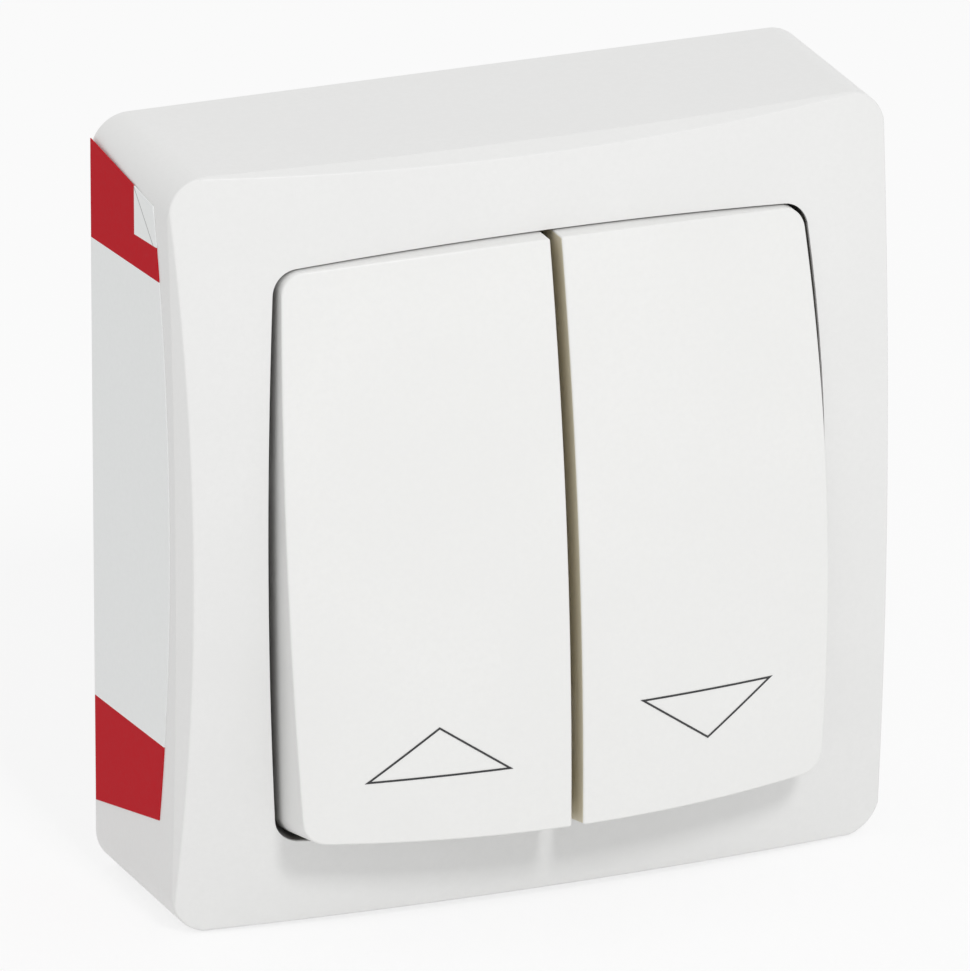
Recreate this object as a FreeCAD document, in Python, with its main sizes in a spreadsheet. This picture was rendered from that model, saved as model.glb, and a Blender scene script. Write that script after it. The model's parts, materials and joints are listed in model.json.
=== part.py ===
import FreeCAD, Part
import math
import os
import Sketcher
from types import SimpleNamespace

# Surface mounted roller shutter switch: a deep surround cover, two tall rockers side by side
# and the switch mechanism behind them.
# Frame: X to the right as seen from the room, Z up, Y into the wall. The origin is at the centre
# of the back, on the wall's face. A depth is counted from the wall towards the room, along -Y.
# The rockers stand at rest with their lower ends out, both circuits off.

DIMENSIONS = (
    ("cover_width", 77.0, "width of the cover at its back rim"),
    ("cover_height", 80.0, "height of the cover at its back rim"),
    ("cover_corner", 4.0, "radius of the cover's four upright corners"),
    ("cover_draft", 0.5, "angle by which the side walls close in towards the front"),
    ("side_depth", 22.0, "depth at which a side wall ends, at its middle"),
    ("side_bow", 2.03, "how far the front edge of a side wall bows out"),
    ("bevel_angle", 67.0, "angle between the bevel band and the wall plane"),
    ("dome_rise", 6.5, "how far the front's centre stands out from the side walls"),
    ("dome_fall", 4.19, "fall of the domed front from its centre to the cover's upper end"),
    ("edge_round", 0.3, "rounding of the edges of the bevel band"),
    ("cover_wall", 2.0, "thickness of the side walls"),
    ("cover_skin", 2.2, "thickness of the domed front"),
    ("opening_width", 59.8, "width of the opening at its middle"),
    ("opening_height", 62.9, "height of the opening at its middle"),
    ("opening_side_bow", 1.5, "how far each side of the opening bows out"),
    ("opening_end_bow", 1.45, "how far each end of the opening bows out"),
    ("opening_corner", 2.8, "corner radius of the opening"),
    ("collar_wall", 1.2, "thickness of the collar round the opening"),
    ("collar_length", 8.5, "reach of the collar back from the front's centre"),
    ("rocker_side_gap", 0.95, "gap between a rocker and the side of the opening"),
    ("rocker_end_gap", 0.2, "gap between a rocker's end and the opening when it is pushed in"),
    ("rocker_side_bow", 1.2, "how far the outer side of a rocker bows out"),
    ("rocker_corner_ease", 0.3, "how much tighter a rocker's corner is than the opening's"),
    ("rocker_gap", 1.2, "gap between the two rockers"),
    ("rocker_height", 13.8, "height of the rockers' face over the pivot axis at the centre"),
    ("face_radius_across", 112.0, "radius of the rockers' domed face from left to right"),
    ("face_radius_along", 268.0, "radius of the rockers' domed face from top to bottom"),
    ("rocker_skin", 1.8, "thickness of a rocker's face and skirts"),
    ("rocker_round", 0.25, "rounding of a rocker's edges"),
    ("skirt_foot", 0.5, "height of the end of a rocker's skirts over the pivot axis"),
    ("rocker_tilt", 5.6, "tilt of a rocker each way from level"),
    ("base_thickness", 2.5, "thickness of the wall base"),
    ("base_gap", 0.25, "gap between the wall base and the cover"),
    ("base_corner", 2.0, "corner radius of the wall base"),
    ("wall_screw_inset", 8.5, "distance of a wall screw slot's centre from the cover's side"),
    ("wall_slot_width", 4.4, "width of a wall screw slot"),
    ("wall_slot_length", 8.0, "length of a wall screw slot"),
    ("cable_hole_width", 28.0, "width of the cable entry in the wall base"),
    ("cable_hole_height", 10.0, "height of the cable entry in the wall base"),
    ("cable_hole_drop", 30.0, "distance of the cable entry below the centre"),
    ("knockout_width", 18.0, "width of the thin cable panel in the cover's lower wall"),
    ("knockout_depth", 12.0, "depth of the thin cable panel"),
    ("knockout_skin", 0.6, "thickness of the thin cable panel"),
    ("latch_height", 22.0, "height of a latch above or below the centre"),
    ("latch_width", 10.0, "width of a latch"),
    ("latch_wall", 1.4, "thickness of a latch"),
    ("latch_reach", 9.5, "depth at which a latch ends"),
    ("latch_nose", 0.7, "how far a latch's nose stands out"),
    ("latch_nose_back", 7.5, "depth at which a latch's nose starts"),
    ("latch_play", 0.2, "play round a latch's nose in the cover's wall"),
    ("housing_width", 47.0, "width of the mechanism housing"),
    ("housing_top", 12.5, "height of the housing above the centre"),
    ("housing_bottom", 22.0, "reach of the housing below the centre"),
    ("pivot_rise", 3.0, "height of the rockers' pivot axis over the housing"),
    ("housing_wall", 1.3, "thickness of the housing's walls"),
    ("housing_floor", 1.1, "thickness of the housing's floor"),
    ("lug_length", 6.0, "reach of a fixing lug from the housing's side"),
    ("lug_width", 7.0, "width of a fixing lug"),
    ("lug_height", 9.0, "height of a fixing lug above or below the centre"),
    ("lug_depth", 6.0, "depth at which a fixing lug starts"),
    ("lug_thickness", 2.5, "thickness of a fixing lug"),
    ("boss_radius", 2.7, "radius of a screw boss on the wall base"),
    ("screw_radius", 1.25, "radius of a mechanism screw"),
    ("screw_head_radius", 2.6, "radius of a mechanism screw's head"),
    ("screw_head_height", 1.8, "height of a mechanism screw's head"),
    ("screw_play", 0.3, "radial play of a mechanism screw in its lug"),
    ("thread_play", 0.05, "radial play of a screw in its thread"),
    ("screw_slot", 0.7, "width of the slot in a screw head"),
    ("frame_thickness", 1.3, "thickness of the pivot frame's plate"),
    ("ear_thickness", 1.4, "thickness of a bearing ear"),
    ("ear_width", 6.0, "width of a bearing ear"),
    ("ear_rim", 1.5, "wall of a bearing ear round its bore"),
    ("clip_wall", 1.0, "thickness of the pivot frame's clips"),
    ("clip_width", 6.0, "width of the pivot frame's clips"),
    ("clip_reach", 6.0, "length of the pivot frame's clips"),
    ("clip_nose", 0.4, "how far a clip's nose stands in"),
    ("mechanism_offset", 13.0, "distance of each switching unit from the centre"),
    ("actuator_width", 13.8, "width of an actuator"),
    ("actuator_length", 16.0, "length of an actuator"),
    ("actuator_top", 6.0, "height of an actuator above its pivot axis"),
    ("actuator_floor", 0.5, "reach of an actuator's body below its pivot axis"),
    ("cheek_drop", 2.0, "reach of an actuator's cheeks below its pivot axis"),
    ("cheek_width", 4.6, "width of an actuator's cheeks"),
    ("trunnion_radius", 1.5, "radius of an actuator's trunnions"),
    ("trunnion_length", 1.3, "length of a trunnion"),
    ("trunnion_play", 0.05, "radial play of a trunnion in its ear"),
    ("ear_play", 0.2, "side play between an actuator and its ears"),
    ("guide_radius", 3.2, "outer radius of the plunger guide"),
    ("guide_drop", 6.5, "reach of the plunger guide below the pivot axis"),
    ("guide_top", 4.0, "height of the guide bore's end above the pivot axis"),
    ("window_height", 12.0, "height of the windows in the pivot frame"),
    ("plunger_radius", 1.7, "radius of a plunger"),
    ("plunger_play", 0.08, "radial play of a plunger in its guide"),
    ("plunger_drop", 9.5, "reach of a plunger's tip below the pivot axis"),
    ("plunger_top", 1.5, "distance of a plunger's upper end below the pivot axis"),
    ("spring_radius", 1.3, "radius of a plunger spring's coil"),
    ("spring_wire", 0.25, "radius of a plunger spring's wire"),
    ("spring_turns", 5.0, "turns of a plunger spring"),
    ("tip_gap", 0.1, "gap between a plunger's tip and its see-saw, held level"),
    ("seesaw_length", 17.0, "length of a see-saw contact"),
    ("seesaw_width", 5.0, "width of a see-saw contact"),
    ("seesaw_thickness", 1.0, "thickness of a see-saw contact"),
    ("seesaw_ratio", 2.0, "tilt of a see-saw contact for each degree of its rocker"),
    ("bead_radius", 0.7, "radius of a see-saw's pivot bead"),
    ("bead_play", 0.05, "radial play of the pivot bead in its notch"),
    ("bead_lift", 0.3, "height of a see-saw's underside above its pivot axis"),
    ("button_radius", 1.5, "radius of a contact button"),
    ("button_height", 1.0, "height of a moving contact button"),
    ("button_offset", 7.0, "distance of a contact button from the see-saw's pivot"),
    ("fixed_button_height", 1.1, "height of a fixed contact button over its strip"),
    ("button_gap", 0.26, "gap between the contact buttons when a rocker is pushed in"),
    ("rest_gap", 0.2, "gap between a see-saw at rest and its stop"),
    ("strip_thickness", 0.8, "thickness of the contact strips"),
    ("strip_width", 2.8, "width of the contact strips"),
    ("strip_play", 0.2, "play round a contact strip in the housing"),
    ("upright_width", 4.0, "width of a pivot upright of the common bar"),
    ("upright_thickness", 2.6, "thickness of a pivot upright"),
    ("notch_drop", 0.2, "distance of an upright's end below the see-saw's pivot axis"),
    ("terminal_offset", 15.0, "distance between neighbouring terminals"),
    ("terminal_width", 8.0, "width of a terminal block"),
    ("terminal_height", 7.6, "height of a terminal block"),
    ("terminal_length", 7.2, "length of a terminal block"),
    ("terminal_play", 0.3, "play round a terminal block in its pocket"),
    ("wire_radius", 1.6, "radius of the wire bore of a terminal"),
    ("wire_depth", 3.2, "distance of the wire bore above the strip"),
    ("wire_funnel", 0.3, "how much wider the housing's wire hole is than the bore"),
    ("terminal_screw_radius", 1.5, "radius of a terminal screw"),
    ("terminal_head_radius", 2.5, "radius of a terminal screw's head"),
    ("terminal_head_height", 2.0, "height of a terminal screw's head"),
    ("terminal_head_gap", 0.3, "gap under a terminal screw's head"),
    ("leg_wall", 1.2, "thickness of a rocker's clip legs"),
    ("leg_width", 3.0, "width of a rocker's clip legs"),
    ("leg_play", 0.1, "play between a clip leg and the actuator"),
    ("leg_hold", 2.5, "how far a clip leg reaches down beside the actuator"),
    ("rib_width", 1.6, "width of the rib that rests on the actuator"),
    ("mark_offset", 14.4, "distance of a printed triangle from the centre"),
    ("mark_width", 15.1, "width of a printed triangle"),
    ("mark_height", 5.25, "height of a printed triangle"),
    ("mark_drop", 23.2, "distance of a printed triangle's lower end below the pivot"),
    ("mark_line", 0.2, "width of a printed line"),
    ("mark_thickness", 0.04, "thickness of the print"),
    ("label_top", 37.8, "height of the side label's upper back corner"),
    ("label_top_fall", 1.7, "fall of the label's upper edge towards the front"),
    ("label_bottom", 32.6, "drop of the side label's lower back corner"),
    ("label_bottom_rise", 4.0, "rise of the label's lower edge towards the front"),
    ("label_top_depth", 17.2, "depth of the label's upper front corner"),
    ("label_bottom_depth", 17.7, "depth of the label's lower front corner"),
    ("label_bow_radius", 150.0, "radius of the label's bowed front edge"),
    ("label_back", 0.3, "distance of the label's back edge from the wall"),
    ("label_thickness", 0.1, "thickness of the label"),
)


class Size:
    """A length or an angle: its formula on the sheet and its present value."""

    def __init__(self, text, value):
        self.text = text
        self.value = value

    def __add__(self, other):
        other = as_size(other)
        return Size(f"({self.text} + {other.text})", self.value + other.value)

    def __radd__(self, other):
        return as_size(other) + self

    def __sub__(self, other):
        other = as_size(other)
        return Size(f"({self.text} - {other.text})", self.value - other.value)

    def __rsub__(self, other):
        return as_size(other) - self

    def __mul__(self, other):
        other = as_size(other)
        return Size(f"({self.text} * {other.text})", self.value * other.value)

    def __rmul__(self, other):
        return as_size(other) * self

    def __truediv__(self, other):
        other = as_size(other)
        return Size(f"({self.text} / {other.text})", self.value / other.value)

    def __neg__(self):
        return Size(f"(0 - {self.text})", -self.value)


def as_size(value):
    return value if isinstance(value, Size) else Size(repr(float(value)), float(value))


def sine(angle):
    return Size(f"sin({angle.text})", math.sin(math.radians(angle.value)))


def cosine(angle):
    return Size(f"cos({angle.text})", math.cos(math.radians(angle.value)))


def tangent(angle):
    return Size(f"tan({angle.text})", math.tan(math.radians(angle.value)))


def root(number):
    return Size(f"sqrt({number.text})", math.sqrt(number.value))


def fill_sheet(document):
    """Writes the driving dimensions into the spreadsheet and returns them by name."""
    sheet = document.addObject("Spreadsheet::Sheet", "Dim")
    for row, (alias, number, meaning) in enumerate(DIMENSIONS, start=1):
        sheet.set(f"A{row}", meaning)
        sheet.set(f"B{row}", str(number))
        sheet.setAlias(f"B{row}", alias)
    document.recompute()
    return SimpleNamespace(**{alias: Size(f"Dim.{alias}", sheet.get(alias)) for alias, _, _ in DIMENSIONS})


doc = FreeCAD.newDocument("roller_shutter_switch")
dim = fill_sheet(doc)

UP = -1
DOWN = 1
SIDES = ((UP, "up"), (DOWN, "down"))
AXIS_X = FreeCAD.Vector(1, 0, 0)
AXIS_Y = FreeCAD.Vector(0, 1, 0)
TO_FRONT = FreeCAD.Rotation(AXIS_X, 90)
TO_RIGHT = FreeCAD.Rotation(AXIS_Y, 90)
TO_LEFT = FreeCAD.Rotation(AXIS_Y, -90)
UPRIGHT = FreeCAD.Rotation()
TILT_OUT = FreeCAD.Vector(-1, 0, 0)
TILT_BACK = FreeCAD.Vector(1, 0, 0)
FAR = 60.0


def bow_radius(half, rise):
    """Radius of an arc over a chord of twice the half length, with a given rise."""
    return (half * half + rise * rise) / (2 * rise)


def dome_depth():
    """Depth of the domed front at the centre."""
    return dim.side_depth + dim.dome_rise


def dome_radius():
    return bow_radius(dim.cover_height / 2, dim.dome_fall)


def collar_back():
    return dome_depth() - dim.collar_length


def floor_depth():
    """Depth of the housing's floor, on which the contact strips lie."""
    return dim.base_thickness + dim.housing_floor


def strip_top():
    return floor_depth() + dim.strip_thickness


def fixed_button_top():
    return strip_top() + dim.fixed_button_height


def seesaw_tilt():
    """Tilt of a see-saw each way from level."""
    return dim.rocker_tilt * dim.seesaw_ratio


def seesaw_depth():
    """Depth of the see-saws' pivot axis, over the lowest edge that a moving button reaches."""
    lowest = (dim.button_offset + dim.button_radius) * sine(seesaw_tilt())
    lowest = lowest + (dim.button_height - dim.bead_lift) * cosine(seesaw_tilt())
    return fixed_button_top() + dim.button_gap + lowest


def pivot_depth():
    """Depth of the rockers' pivot axis, set by the plungers that stand on the see-saws."""
    return seesaw_depth() + dim.bead_lift + dim.seesaw_thickness + dim.tip_gap + dim.plunger_drop


def housing_depth():
    """Depth at which the housing ends."""
    return pivot_depth() - dim.pivot_rise


def bind(target, formulas):
    """Ties properties of an object to formulas on the sheet."""
    for prop, size in formulas.items():
        target.setExpression(prop, as_size(size).text)
    return target


def span(side, near, far):
    """Two places along X on one side of the centre, the lower one first."""
    return (side * far, side * near) if side < 0 else (side * near, side * far)


def about(centre, width):
    return (centre - width / 2, centre + width / 2)


def block(name, x, depth, z):
    """Box between two places along each axis."""
    box = doc.addObject("Part::Box", name)
    return bind(
        box,
        {
            "Length": x[1] - x[0],
            "Width": depth[1] - depth[0],
            "Height": z[1] - z[0],
            "Placement.Base.x": x[0],
            "Placement.Base.y": 0 - as_size(depth[1]),
            "Placement.Base.z": z[0],
        },
    )


def cylinder(name, radius, length, x, depth, z, turn):
    rod = doc.addObject("Part::Cylinder", name)
    rod.Placement.Rotation = turn
    return bind(
        rod,
        {
            "Radius": radius,
            "Height": length,
            "Placement.Base.x": x,
            "Placement.Base.y": 0 - as_size(depth),
            "Placement.Base.z": z,
        },
    )


def post(name, radius, x, depth, z):
    """Cylinder that points to the front, between two depths."""
    return cylinder(name, radius, as_size(depth[1]) - depth[0], x, depth[0], z, TO_FRONT)


def bar(name, radius, x, depth, z):
    """Cylinder along X, between two places."""
    return cylinder(name, radius, as_size(x[1]) - x[0], x[0], depth, z, TO_RIGHT)


def stalk(name, radius, x, depth, z):
    """Cylinder along Z, between two heights."""
    return cylinder(name, radius, as_size(z[1]) - z[0], x, depth, z[0], UPRIGHT)


def ball(name, radius, depth, x=0.0, z=0.0):
    """Sphere whose centre lies at a depth, which is negative behind the wall."""
    sphere = doc.addObject("Part::Sphere", name)
    return bind(
        sphere,
        {
            "Radius": radius,
            "Placement.Base.x": x,
            "Placement.Base.y": 0 - as_size(depth),
            "Placement.Base.z": z,
        },
    )


def fuse(name, *shapes):
    joined = doc.addObject("Part::MultiFuse", name)
    joined.Shapes = list(shapes)
    joined.Refine = True
    return joined


def common(name, *shapes):
    shared = doc.addObject("Part::MultiCommon", name)
    shared.Shapes = list(shapes)
    return shared


def cut(name, base, *tools):
    left = doc.addObject("Part::Cut", name)
    left.Base = base
    left.Tool = tools[0] if len(tools) == 1 else fuse(name + "_tools", *tools)
    return left


def group(name, *shapes):
    """Identical loose pieces that share one node."""
    loose = doc.addObject("Part::Compound", name)
    loose.Links = list(shapes)
    return loose


def origin_plane(body, role):
    return next(f for f in body.Origin.OriginFeatures if f.Role == role)


def closed_sketch(body, name, role, corners, radii):
    """Closed outline on an origin plane, its corners anticlockwise. A side with a radius bows out."""
    sketch = body.newObject("Sketcher::SketchObject", name)
    sketch.AttachmentSupport = [(origin_plane(body, role), "")]
    sketch.MapMode = "FlatFace"
    points = [FreeCAD.Vector(as_size(u).value, as_size(v).value, 0) for u, v in corners]
    for here, radius in enumerate(radii):
        start, end = points[here], points[(here + 1) % len(points)]
        if radius is None:
            sketch.addGeometry(Part.LineSegment(start, end))
            continue
        half = (end - start).Length / 2
        rise = radius.value - math.sqrt(radius.value**2 - half**2)
        outward = FreeCAD.Vector(end.y - start.y, start.x - end.x, 0).normalize()
        sketch.addGeometry(Part.Arc(start, (start + end) / 2 + outward * rise, end))
    for here in range(len(points)):
        sketch.addConstraint(Sketcher.Constraint("Coincident", here, 2, (here + 1) % len(points), 1))
    for here, (u, v) in enumerate(corners):
        for kind, place in (("DistanceX", as_size(u)), ("DistanceY", as_size(v))):
            index = sketch.addConstraint(Sketcher.Constraint(kind, here, 1, place.value))
            sketch.setExpression(f"Constraints[{index}]", place.text)
        if radii[here] is not None:
            index = sketch.addConstraint(Sketcher.Constraint("Radius", here, radii[here].value))
            sketch.setExpression(f"Constraints[{index}]", radii[here].text)
    return sketch


def prism(name, corners, reach, role="XZ_Plane", radii=None, corner=None):
    """Padded outline. On the XZ plane reach is a pair of depths, on the YZ plane a pair of X places."""
    body = doc.addObject("PartDesign::Body", name)
    sketch = closed_sketch(body, name + "_outline", role, corners, radii or [None] * len(corners))
    sketch.setExpression("AttachmentOffset.Base.z", as_size(reach[0]).text)
    pad = body.newObject("PartDesign::Pad", name + "_pad")
    pad.Profile = sketch
    pad.setExpression("Length", (as_size(reach[1]) - reach[0]).text)
    doc.recompute()
    if corner is not None:
        normal = sketch.Placement.Rotation.multVec(FreeCAD.Vector(0, 0, 1))
        along = [
            f"Edge{index}"
            for index, edge in enumerate(pad.Shape.Edges, start=1)
            if abs(edge.tangentAt(edge.FirstParameter).dot(normal)) > 0.999
        ]
        rounding = body.newObject("PartDesign::Fillet", name + "_corners")
        rounding.Base = (pad, along)
        rounding.setExpression("Radius", corner.text)
        doc.recompute()
    return body


def rectangle(x, z):
    return [(x[0], z[0]), (x[1], z[0]), (x[1], z[1]), (x[0], z[1])]


def barrel(name, half_width, half_height, side_bow, end_bow, corner, depth):
    """Prism with four bowed sides. The half sizes are measured at the middle of the sides."""
    narrow = half_width - side_bow
    low = half_height - end_bow
    side_radius = bow_radius(low, side_bow)
    end_radius = bow_radius(narrow, end_bow)
    return prism(
        name,
        rectangle((-narrow, narrow), (-low, low)),
        depth,
        radii=[end_radius, side_radius, end_radius, side_radius],
        corner=corner,
    )


def round_edges(name, base, radius, chosen):
    """Rounds the edges of a solid for which the test holds."""
    doc.recompute()
    rounded = doc.addObject("Part::Fillet", name)
    rounded.Base = base
    rounded.Edges = [
        (index, radius.value, radius.value)
        for index, edge in enumerate(base.Shape.Edges, start=1)
        if chosen(edge)
    ]
    return rounded


def middle(edge):
    return edge.valueAt((edge.FirstParameter + edge.LastParameter) / 2)


def runs_along_depth(edge):
    start, end = edge.Vertexes[0].Point, edge.Vertexes[-1].Point
    run = end - start
    return run.Length > 0 and abs(run.y) > 0.9 * run.Length


def drafted_block(name, inset):
    """Block that closes in towards the front, inside the cover's outline by an inset."""
    half_width = dim.cover_width / 2 - inset
    half_height = dim.cover_height / 2 - inset
    reach = dome_depth() + dim.cover_skin
    close_in = reach * tangent(dim.cover_draft)
    wedge = doc.addObject("Part::Wedge", name)
    return bind(
        wedge,
        {
            "Ymin": -reach,
            "Ymax": 0,
            "Xmin": close_in - half_width,
            "Xmax": half_width - close_in,
            "Zmin": close_in - half_height,
            "Zmax": half_height - close_in,
            "X2min": -half_width,
            "X2max": half_width,
            "Z2min": -half_height,
            "Z2max": half_height,
        },
    )


def bevel_pair(name, half, half_length, turns):
    """Two flat cones back to back, whose flanks are the bowed bevel bands of two opposite sides."""
    radius = bow_radius(half_length, dim.side_bow)
    cones = []
    for side, turn in zip((-1, 1), turns):
        cone = doc.addObject("Part::Cone", f"{name}_{'low' if side < 0 else 'high'}")
        cone.Placement.Rotation = turn
        place = "Placement.Base.x" if turns == (TO_RIGHT, TO_LEFT) else "Placement.Base.z"
        bind(
            cone,
            {
                "Radius1": radius,
                "Radius2": radius + half * tangent(dim.bevel_angle),
                "Height": half,
                "Placement.Base.y": radius - dim.side_depth,
                place: side * half,
            },
        )
        cones.append(cone)
    return fuse(name, *cones)


def outer_form():
    """The cover's outer form: drafted walls, bowed bevel bands and a shallow dome."""
    walls = round_edges("cover_walls", drafted_block("cover_block", as_size(0)), dim.cover_corner, runs_along_depth)
    half_width = dim.cover_width / 2
    half_height = dim.cover_height / 2
    sides = bevel_pair("side_bevels", half_width, half_height, (TO_RIGHT, TO_LEFT))
    ends = bevel_pair("end_bevels", half_height, half_width, (UPRIGHT, FreeCAD.Rotation(AXIS_X, 180)))
    dome = ball("cover_dome", dome_radius(), dome_depth() - dome_radius())
    form = common("cover_form", walls, sides, ends, dome)
    front = collar_back().value - dim.cover_wall.value
    return round_edges(
        "cover_outside", form, dim.edge_round, lambda edge: -middle(edge).y > front and not runs_along_depth(edge)
    )


def latch_span(half, end):
    return about(end * dim.latch_height, half)


def surround_cover():
    """One moulded shell: open back, barrel shaped opening with a collar, latch recesses."""
    outside = outer_form()
    inside = common(
        "cover_cavity",
        drafted_block("cover_cavity_block", dim.cover_wall),
        ball("cover_cavity_dome", dome_radius() - dim.cover_skin, dome_depth() - dome_radius()),
    )
    half_width = dim.opening_width / 2
    half_height = dim.opening_height / 2
    collar = barrel(
        "collar_outline",
        half_width + dim.collar_wall,
        half_height + dim.collar_wall,
        dim.opening_side_bow,
        dim.opening_end_bow,
        dim.opening_corner + dim.collar_wall,
        (collar_back(), dome_depth() + dim.cover_wall),
    )
    shell = cut("cover_shell", outside, cut("cover_void", inside, collar))
    tools = [
        barrel(
            "opening_outline",
            half_width,
            half_height,
            dim.opening_side_bow,
            dim.opening_end_bow,
            dim.opening_corner,
            (collar_back() - dim.cover_wall, dome_depth() + dim.cover_wall),
        )
    ]
    inner_wall = dim.cover_width / 2 - dim.cover_wall
    recess_wide = dim.latch_width + 2 * dim.latch_play
    for side in (-1, 1):
        for end in (-1, 1):
            tools.append(
                block(
                    f"latch_recess_{'left' if side < 0 else 'right'}_{'low' if end < 0 else 'high'}",
                    span(side, inner_wall - 1, inner_wall - dim.base_gap + dim.latch_nose + dim.latch_play),
                    (dim.latch_nose_back - dim.latch_play, dim.latch_reach + dim.latch_play),
                    latch_span(recess_wide, end),
                )
            )
    floor = dim.cover_height / 2
    tools.append(
        block(
            "knockout_recess",
            about(as_size(0), dim.knockout_width),
            (dim.base_thickness, dim.base_thickness + dim.knockout_depth),
            (dim.knockout_skin - floor + dim.side_depth * tangent(dim.cover_draft), 1 + dim.cover_wall - floor),
        )
    )
    return cut("surround_cover", shell, *tools)


def latch(side, end):
    """One spring latch of the wall base, with a sloped nose that snaps into the cover's wall."""
    outer = dim.cover_width / 2 - dim.cover_wall - dim.base_gap
    where = f"{'left' if side < 0 else 'right'}_{'low' if end < 0 else 'high'}"
    z = latch_span(dim.latch_width, end)
    tongue = block(f"latch_tongue_{where}", span(side, outer - dim.latch_wall, outer), (0, dim.latch_reach), z)
    nose = doc.addObject("Part::Wedge", f"latch_nose_{where}")
    point = outer + dim.latch_nose
    low, high = span(side, outer - dim.latch_wall / 2, outer)
    back_low, back_high = span(side, outer - dim.latch_wall / 2, point)
    bind(
        nose,
        {
            "Xmin": low,
            "Xmax": high,
            "X2min": back_low,
            "X2max": back_high,
            "Ymin": -dim.latch_reach,
            "Ymax": -dim.latch_nose_back,
            "Zmin": z[0],
            "Zmax": z[1],
            "Z2min": z[0],
            "Z2max": z[1],
        },
    )
    return [tongue, nose]


def lug_place(side):
    """Centre of the fixing lug and its screw on one side: low on the left, high on the right."""
    x = side * (dim.housing_width / 2 + dim.lug_length / 2)
    return x, side * dim.lug_height


def wall_base():
    """Flat base that is screwed to the wall, with latches for the cover and two screw bosses."""
    half_width = dim.cover_width / 2 - dim.cover_wall - dim.base_gap
    half_height = dim.cover_height / 2 - dim.cover_wall - dim.base_gap
    plate = prism(
        "base_plate",
        rectangle((-half_width, half_width), (-half_height, half_height)),
        (0, dim.base_thickness),
        corner=dim.base_corner,
    )
    solids = [plate]
    tools = []
    for side in (-1, 1):
        name = "left" if side < 0 else "right"
        for end in (-1, 1):
            solids += latch(side, end)
        x, z = lug_place(side)
        solids.append(post(f"base_boss_{name}", dim.boss_radius, x, (0, dim.lug_depth), z))
        bore = dim.screw_radius + dim.thread_play
        tools.append(post(f"boss_bore_{name}", bore, x, (dim.base_thickness / 3, dim.lug_depth + 1), z))
        centre = side * (dim.cover_width / 2 - dim.wall_screw_inset)
        straight = dim.wall_slot_length - dim.wall_slot_width
        through = (-1, dim.base_thickness + 1)
        tools.append(
            block(f"wall_slot_{name}", about(centre, straight), through, about(as_size(0), dim.wall_slot_width))
        )
        for end in (-1, 1):
            tools.append(
                post(
                    f"wall_slot_{name}_end_{'a' if end < 0 else 'b'}",
                    dim.wall_slot_width / 2,
                    centre + end * straight / 2,
                    through,
                    0,
                )
            )
    tools.append(
        block(
            "cable_hole",
            about(as_size(0), dim.cable_hole_width),
            (-1, dim.base_thickness + 1),
            about(-dim.cable_hole_drop, dim.cable_hole_height),
        )
    )
    return cut("wall_base", fuse("base_solids", *solids), *tools)


def terminal_centres():
    return (
        ("common", as_size(0)),
        ("up", -dim.terminal_offset),
        ("down", dim.terminal_offset),
    )


def terminal_span():
    """Heights between which the terminal blocks stand."""
    low = dim.housing_wall + dim.terminal_play - dim.housing_bottom
    return (low, low + dim.terminal_length)


def partition_span():
    """Heights of the wall between the terminals and the contact chamber."""
    low = terminal_span()[1] + dim.terminal_play
    return (low, low + dim.housing_wall)


def mechanism_housing():
    """Moulded insulating housing: contact chamber, three terminal pockets and two fixing lugs."""
    half = dim.housing_width / 2
    tall = (-dim.housing_bottom, dim.housing_top)
    case = block("housing_case", (-half, half), (dim.base_thickness, housing_depth()), tall)
    open_front = (floor_depth(), housing_depth() + 1)
    inner = half - dim.housing_wall
    chamber = block(
        "contact_chamber",
        (-inner, inner),
        open_front,
        (partition_span()[1], dim.housing_top - dim.housing_wall),
    )
    tools = [chamber]
    pocket_wide = dim.terminal_width + 2 * dim.terminal_play
    pocket_tall = (terminal_span()[0] - dim.terminal_play, terminal_span()[1] + dim.terminal_play)
    tunnel = (floor_depth(), strip_top() + dim.strip_play)
    for name, centre in terminal_centres():
        tools.append(block(f"pocket_{name}", about(centre, pocket_wide), open_front, pocket_tall))
        tools.append(
            block(
                f"strip_tunnel_{name}",
                about(centre, pocket_wide),
                tunnel,
                (pocket_tall[1] - 1, partition_span()[1] + 1),
            )
        )
        tools.append(
            stalk(
                f"wire_hole_{name}",
                dim.wire_radius + dim.wire_funnel,
                centre,
                strip_top() + dim.wire_depth,
                (-1 - dim.housing_bottom, pocket_tall[0] + 1),
            )
        )
    solids = []
    for side in (-1, 1):
        name = "left" if side < 0 else "right"
        x, z = lug_place(side)
        solids.append(
            block(
                f"lug_{name}",
                span(side, half - dim.housing_wall / 2, half + dim.lug_length),
                (dim.lug_depth, dim.lug_depth + dim.lug_thickness),
                about(z, dim.lug_width),
            )
        )
        tools.append(
            post(
                f"lug_bore_{name}",
                dim.screw_radius + dim.screw_play,
                x,
                (dim.lug_depth - 1, dim.lug_depth + dim.lug_thickness + 1),
                z,
            )
        )
        tools.append(
            block(
                f"side_clip_recess_{name}",
                span(side, half - dim.clip_nose, half + 1),
                clip_recess(),
                about(as_size(0), dim.clip_width + 2 * dim.latch_play),
            )
        )
        tools.append(
            block(
                f"top_clip_recess_{name}",
                about(side * dim.terminal_offset, dim.clip_width + 2 * dim.latch_play),
                clip_recess(),
                (dim.housing_top - dim.clip_nose, dim.housing_top + 1),
            )
        )
    hollow = cut("housing_hollow", fuse("housing_solids", case, *solids), *tools)
    inside = [barrier(), *[seesaw_stop(side, name) for side, name in SIDES]]
    return fuse("mechanism_housing", hollow, *inside)


def barrier():
    """Wall between the two switching units, clear of the common bar."""
    return block(
        "barrier",
        about(as_size(0), dim.housing_wall),
        (strip_top() + dim.strip_play, housing_depth()),
        (partition_span()[0], dim.housing_top),
    )


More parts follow.
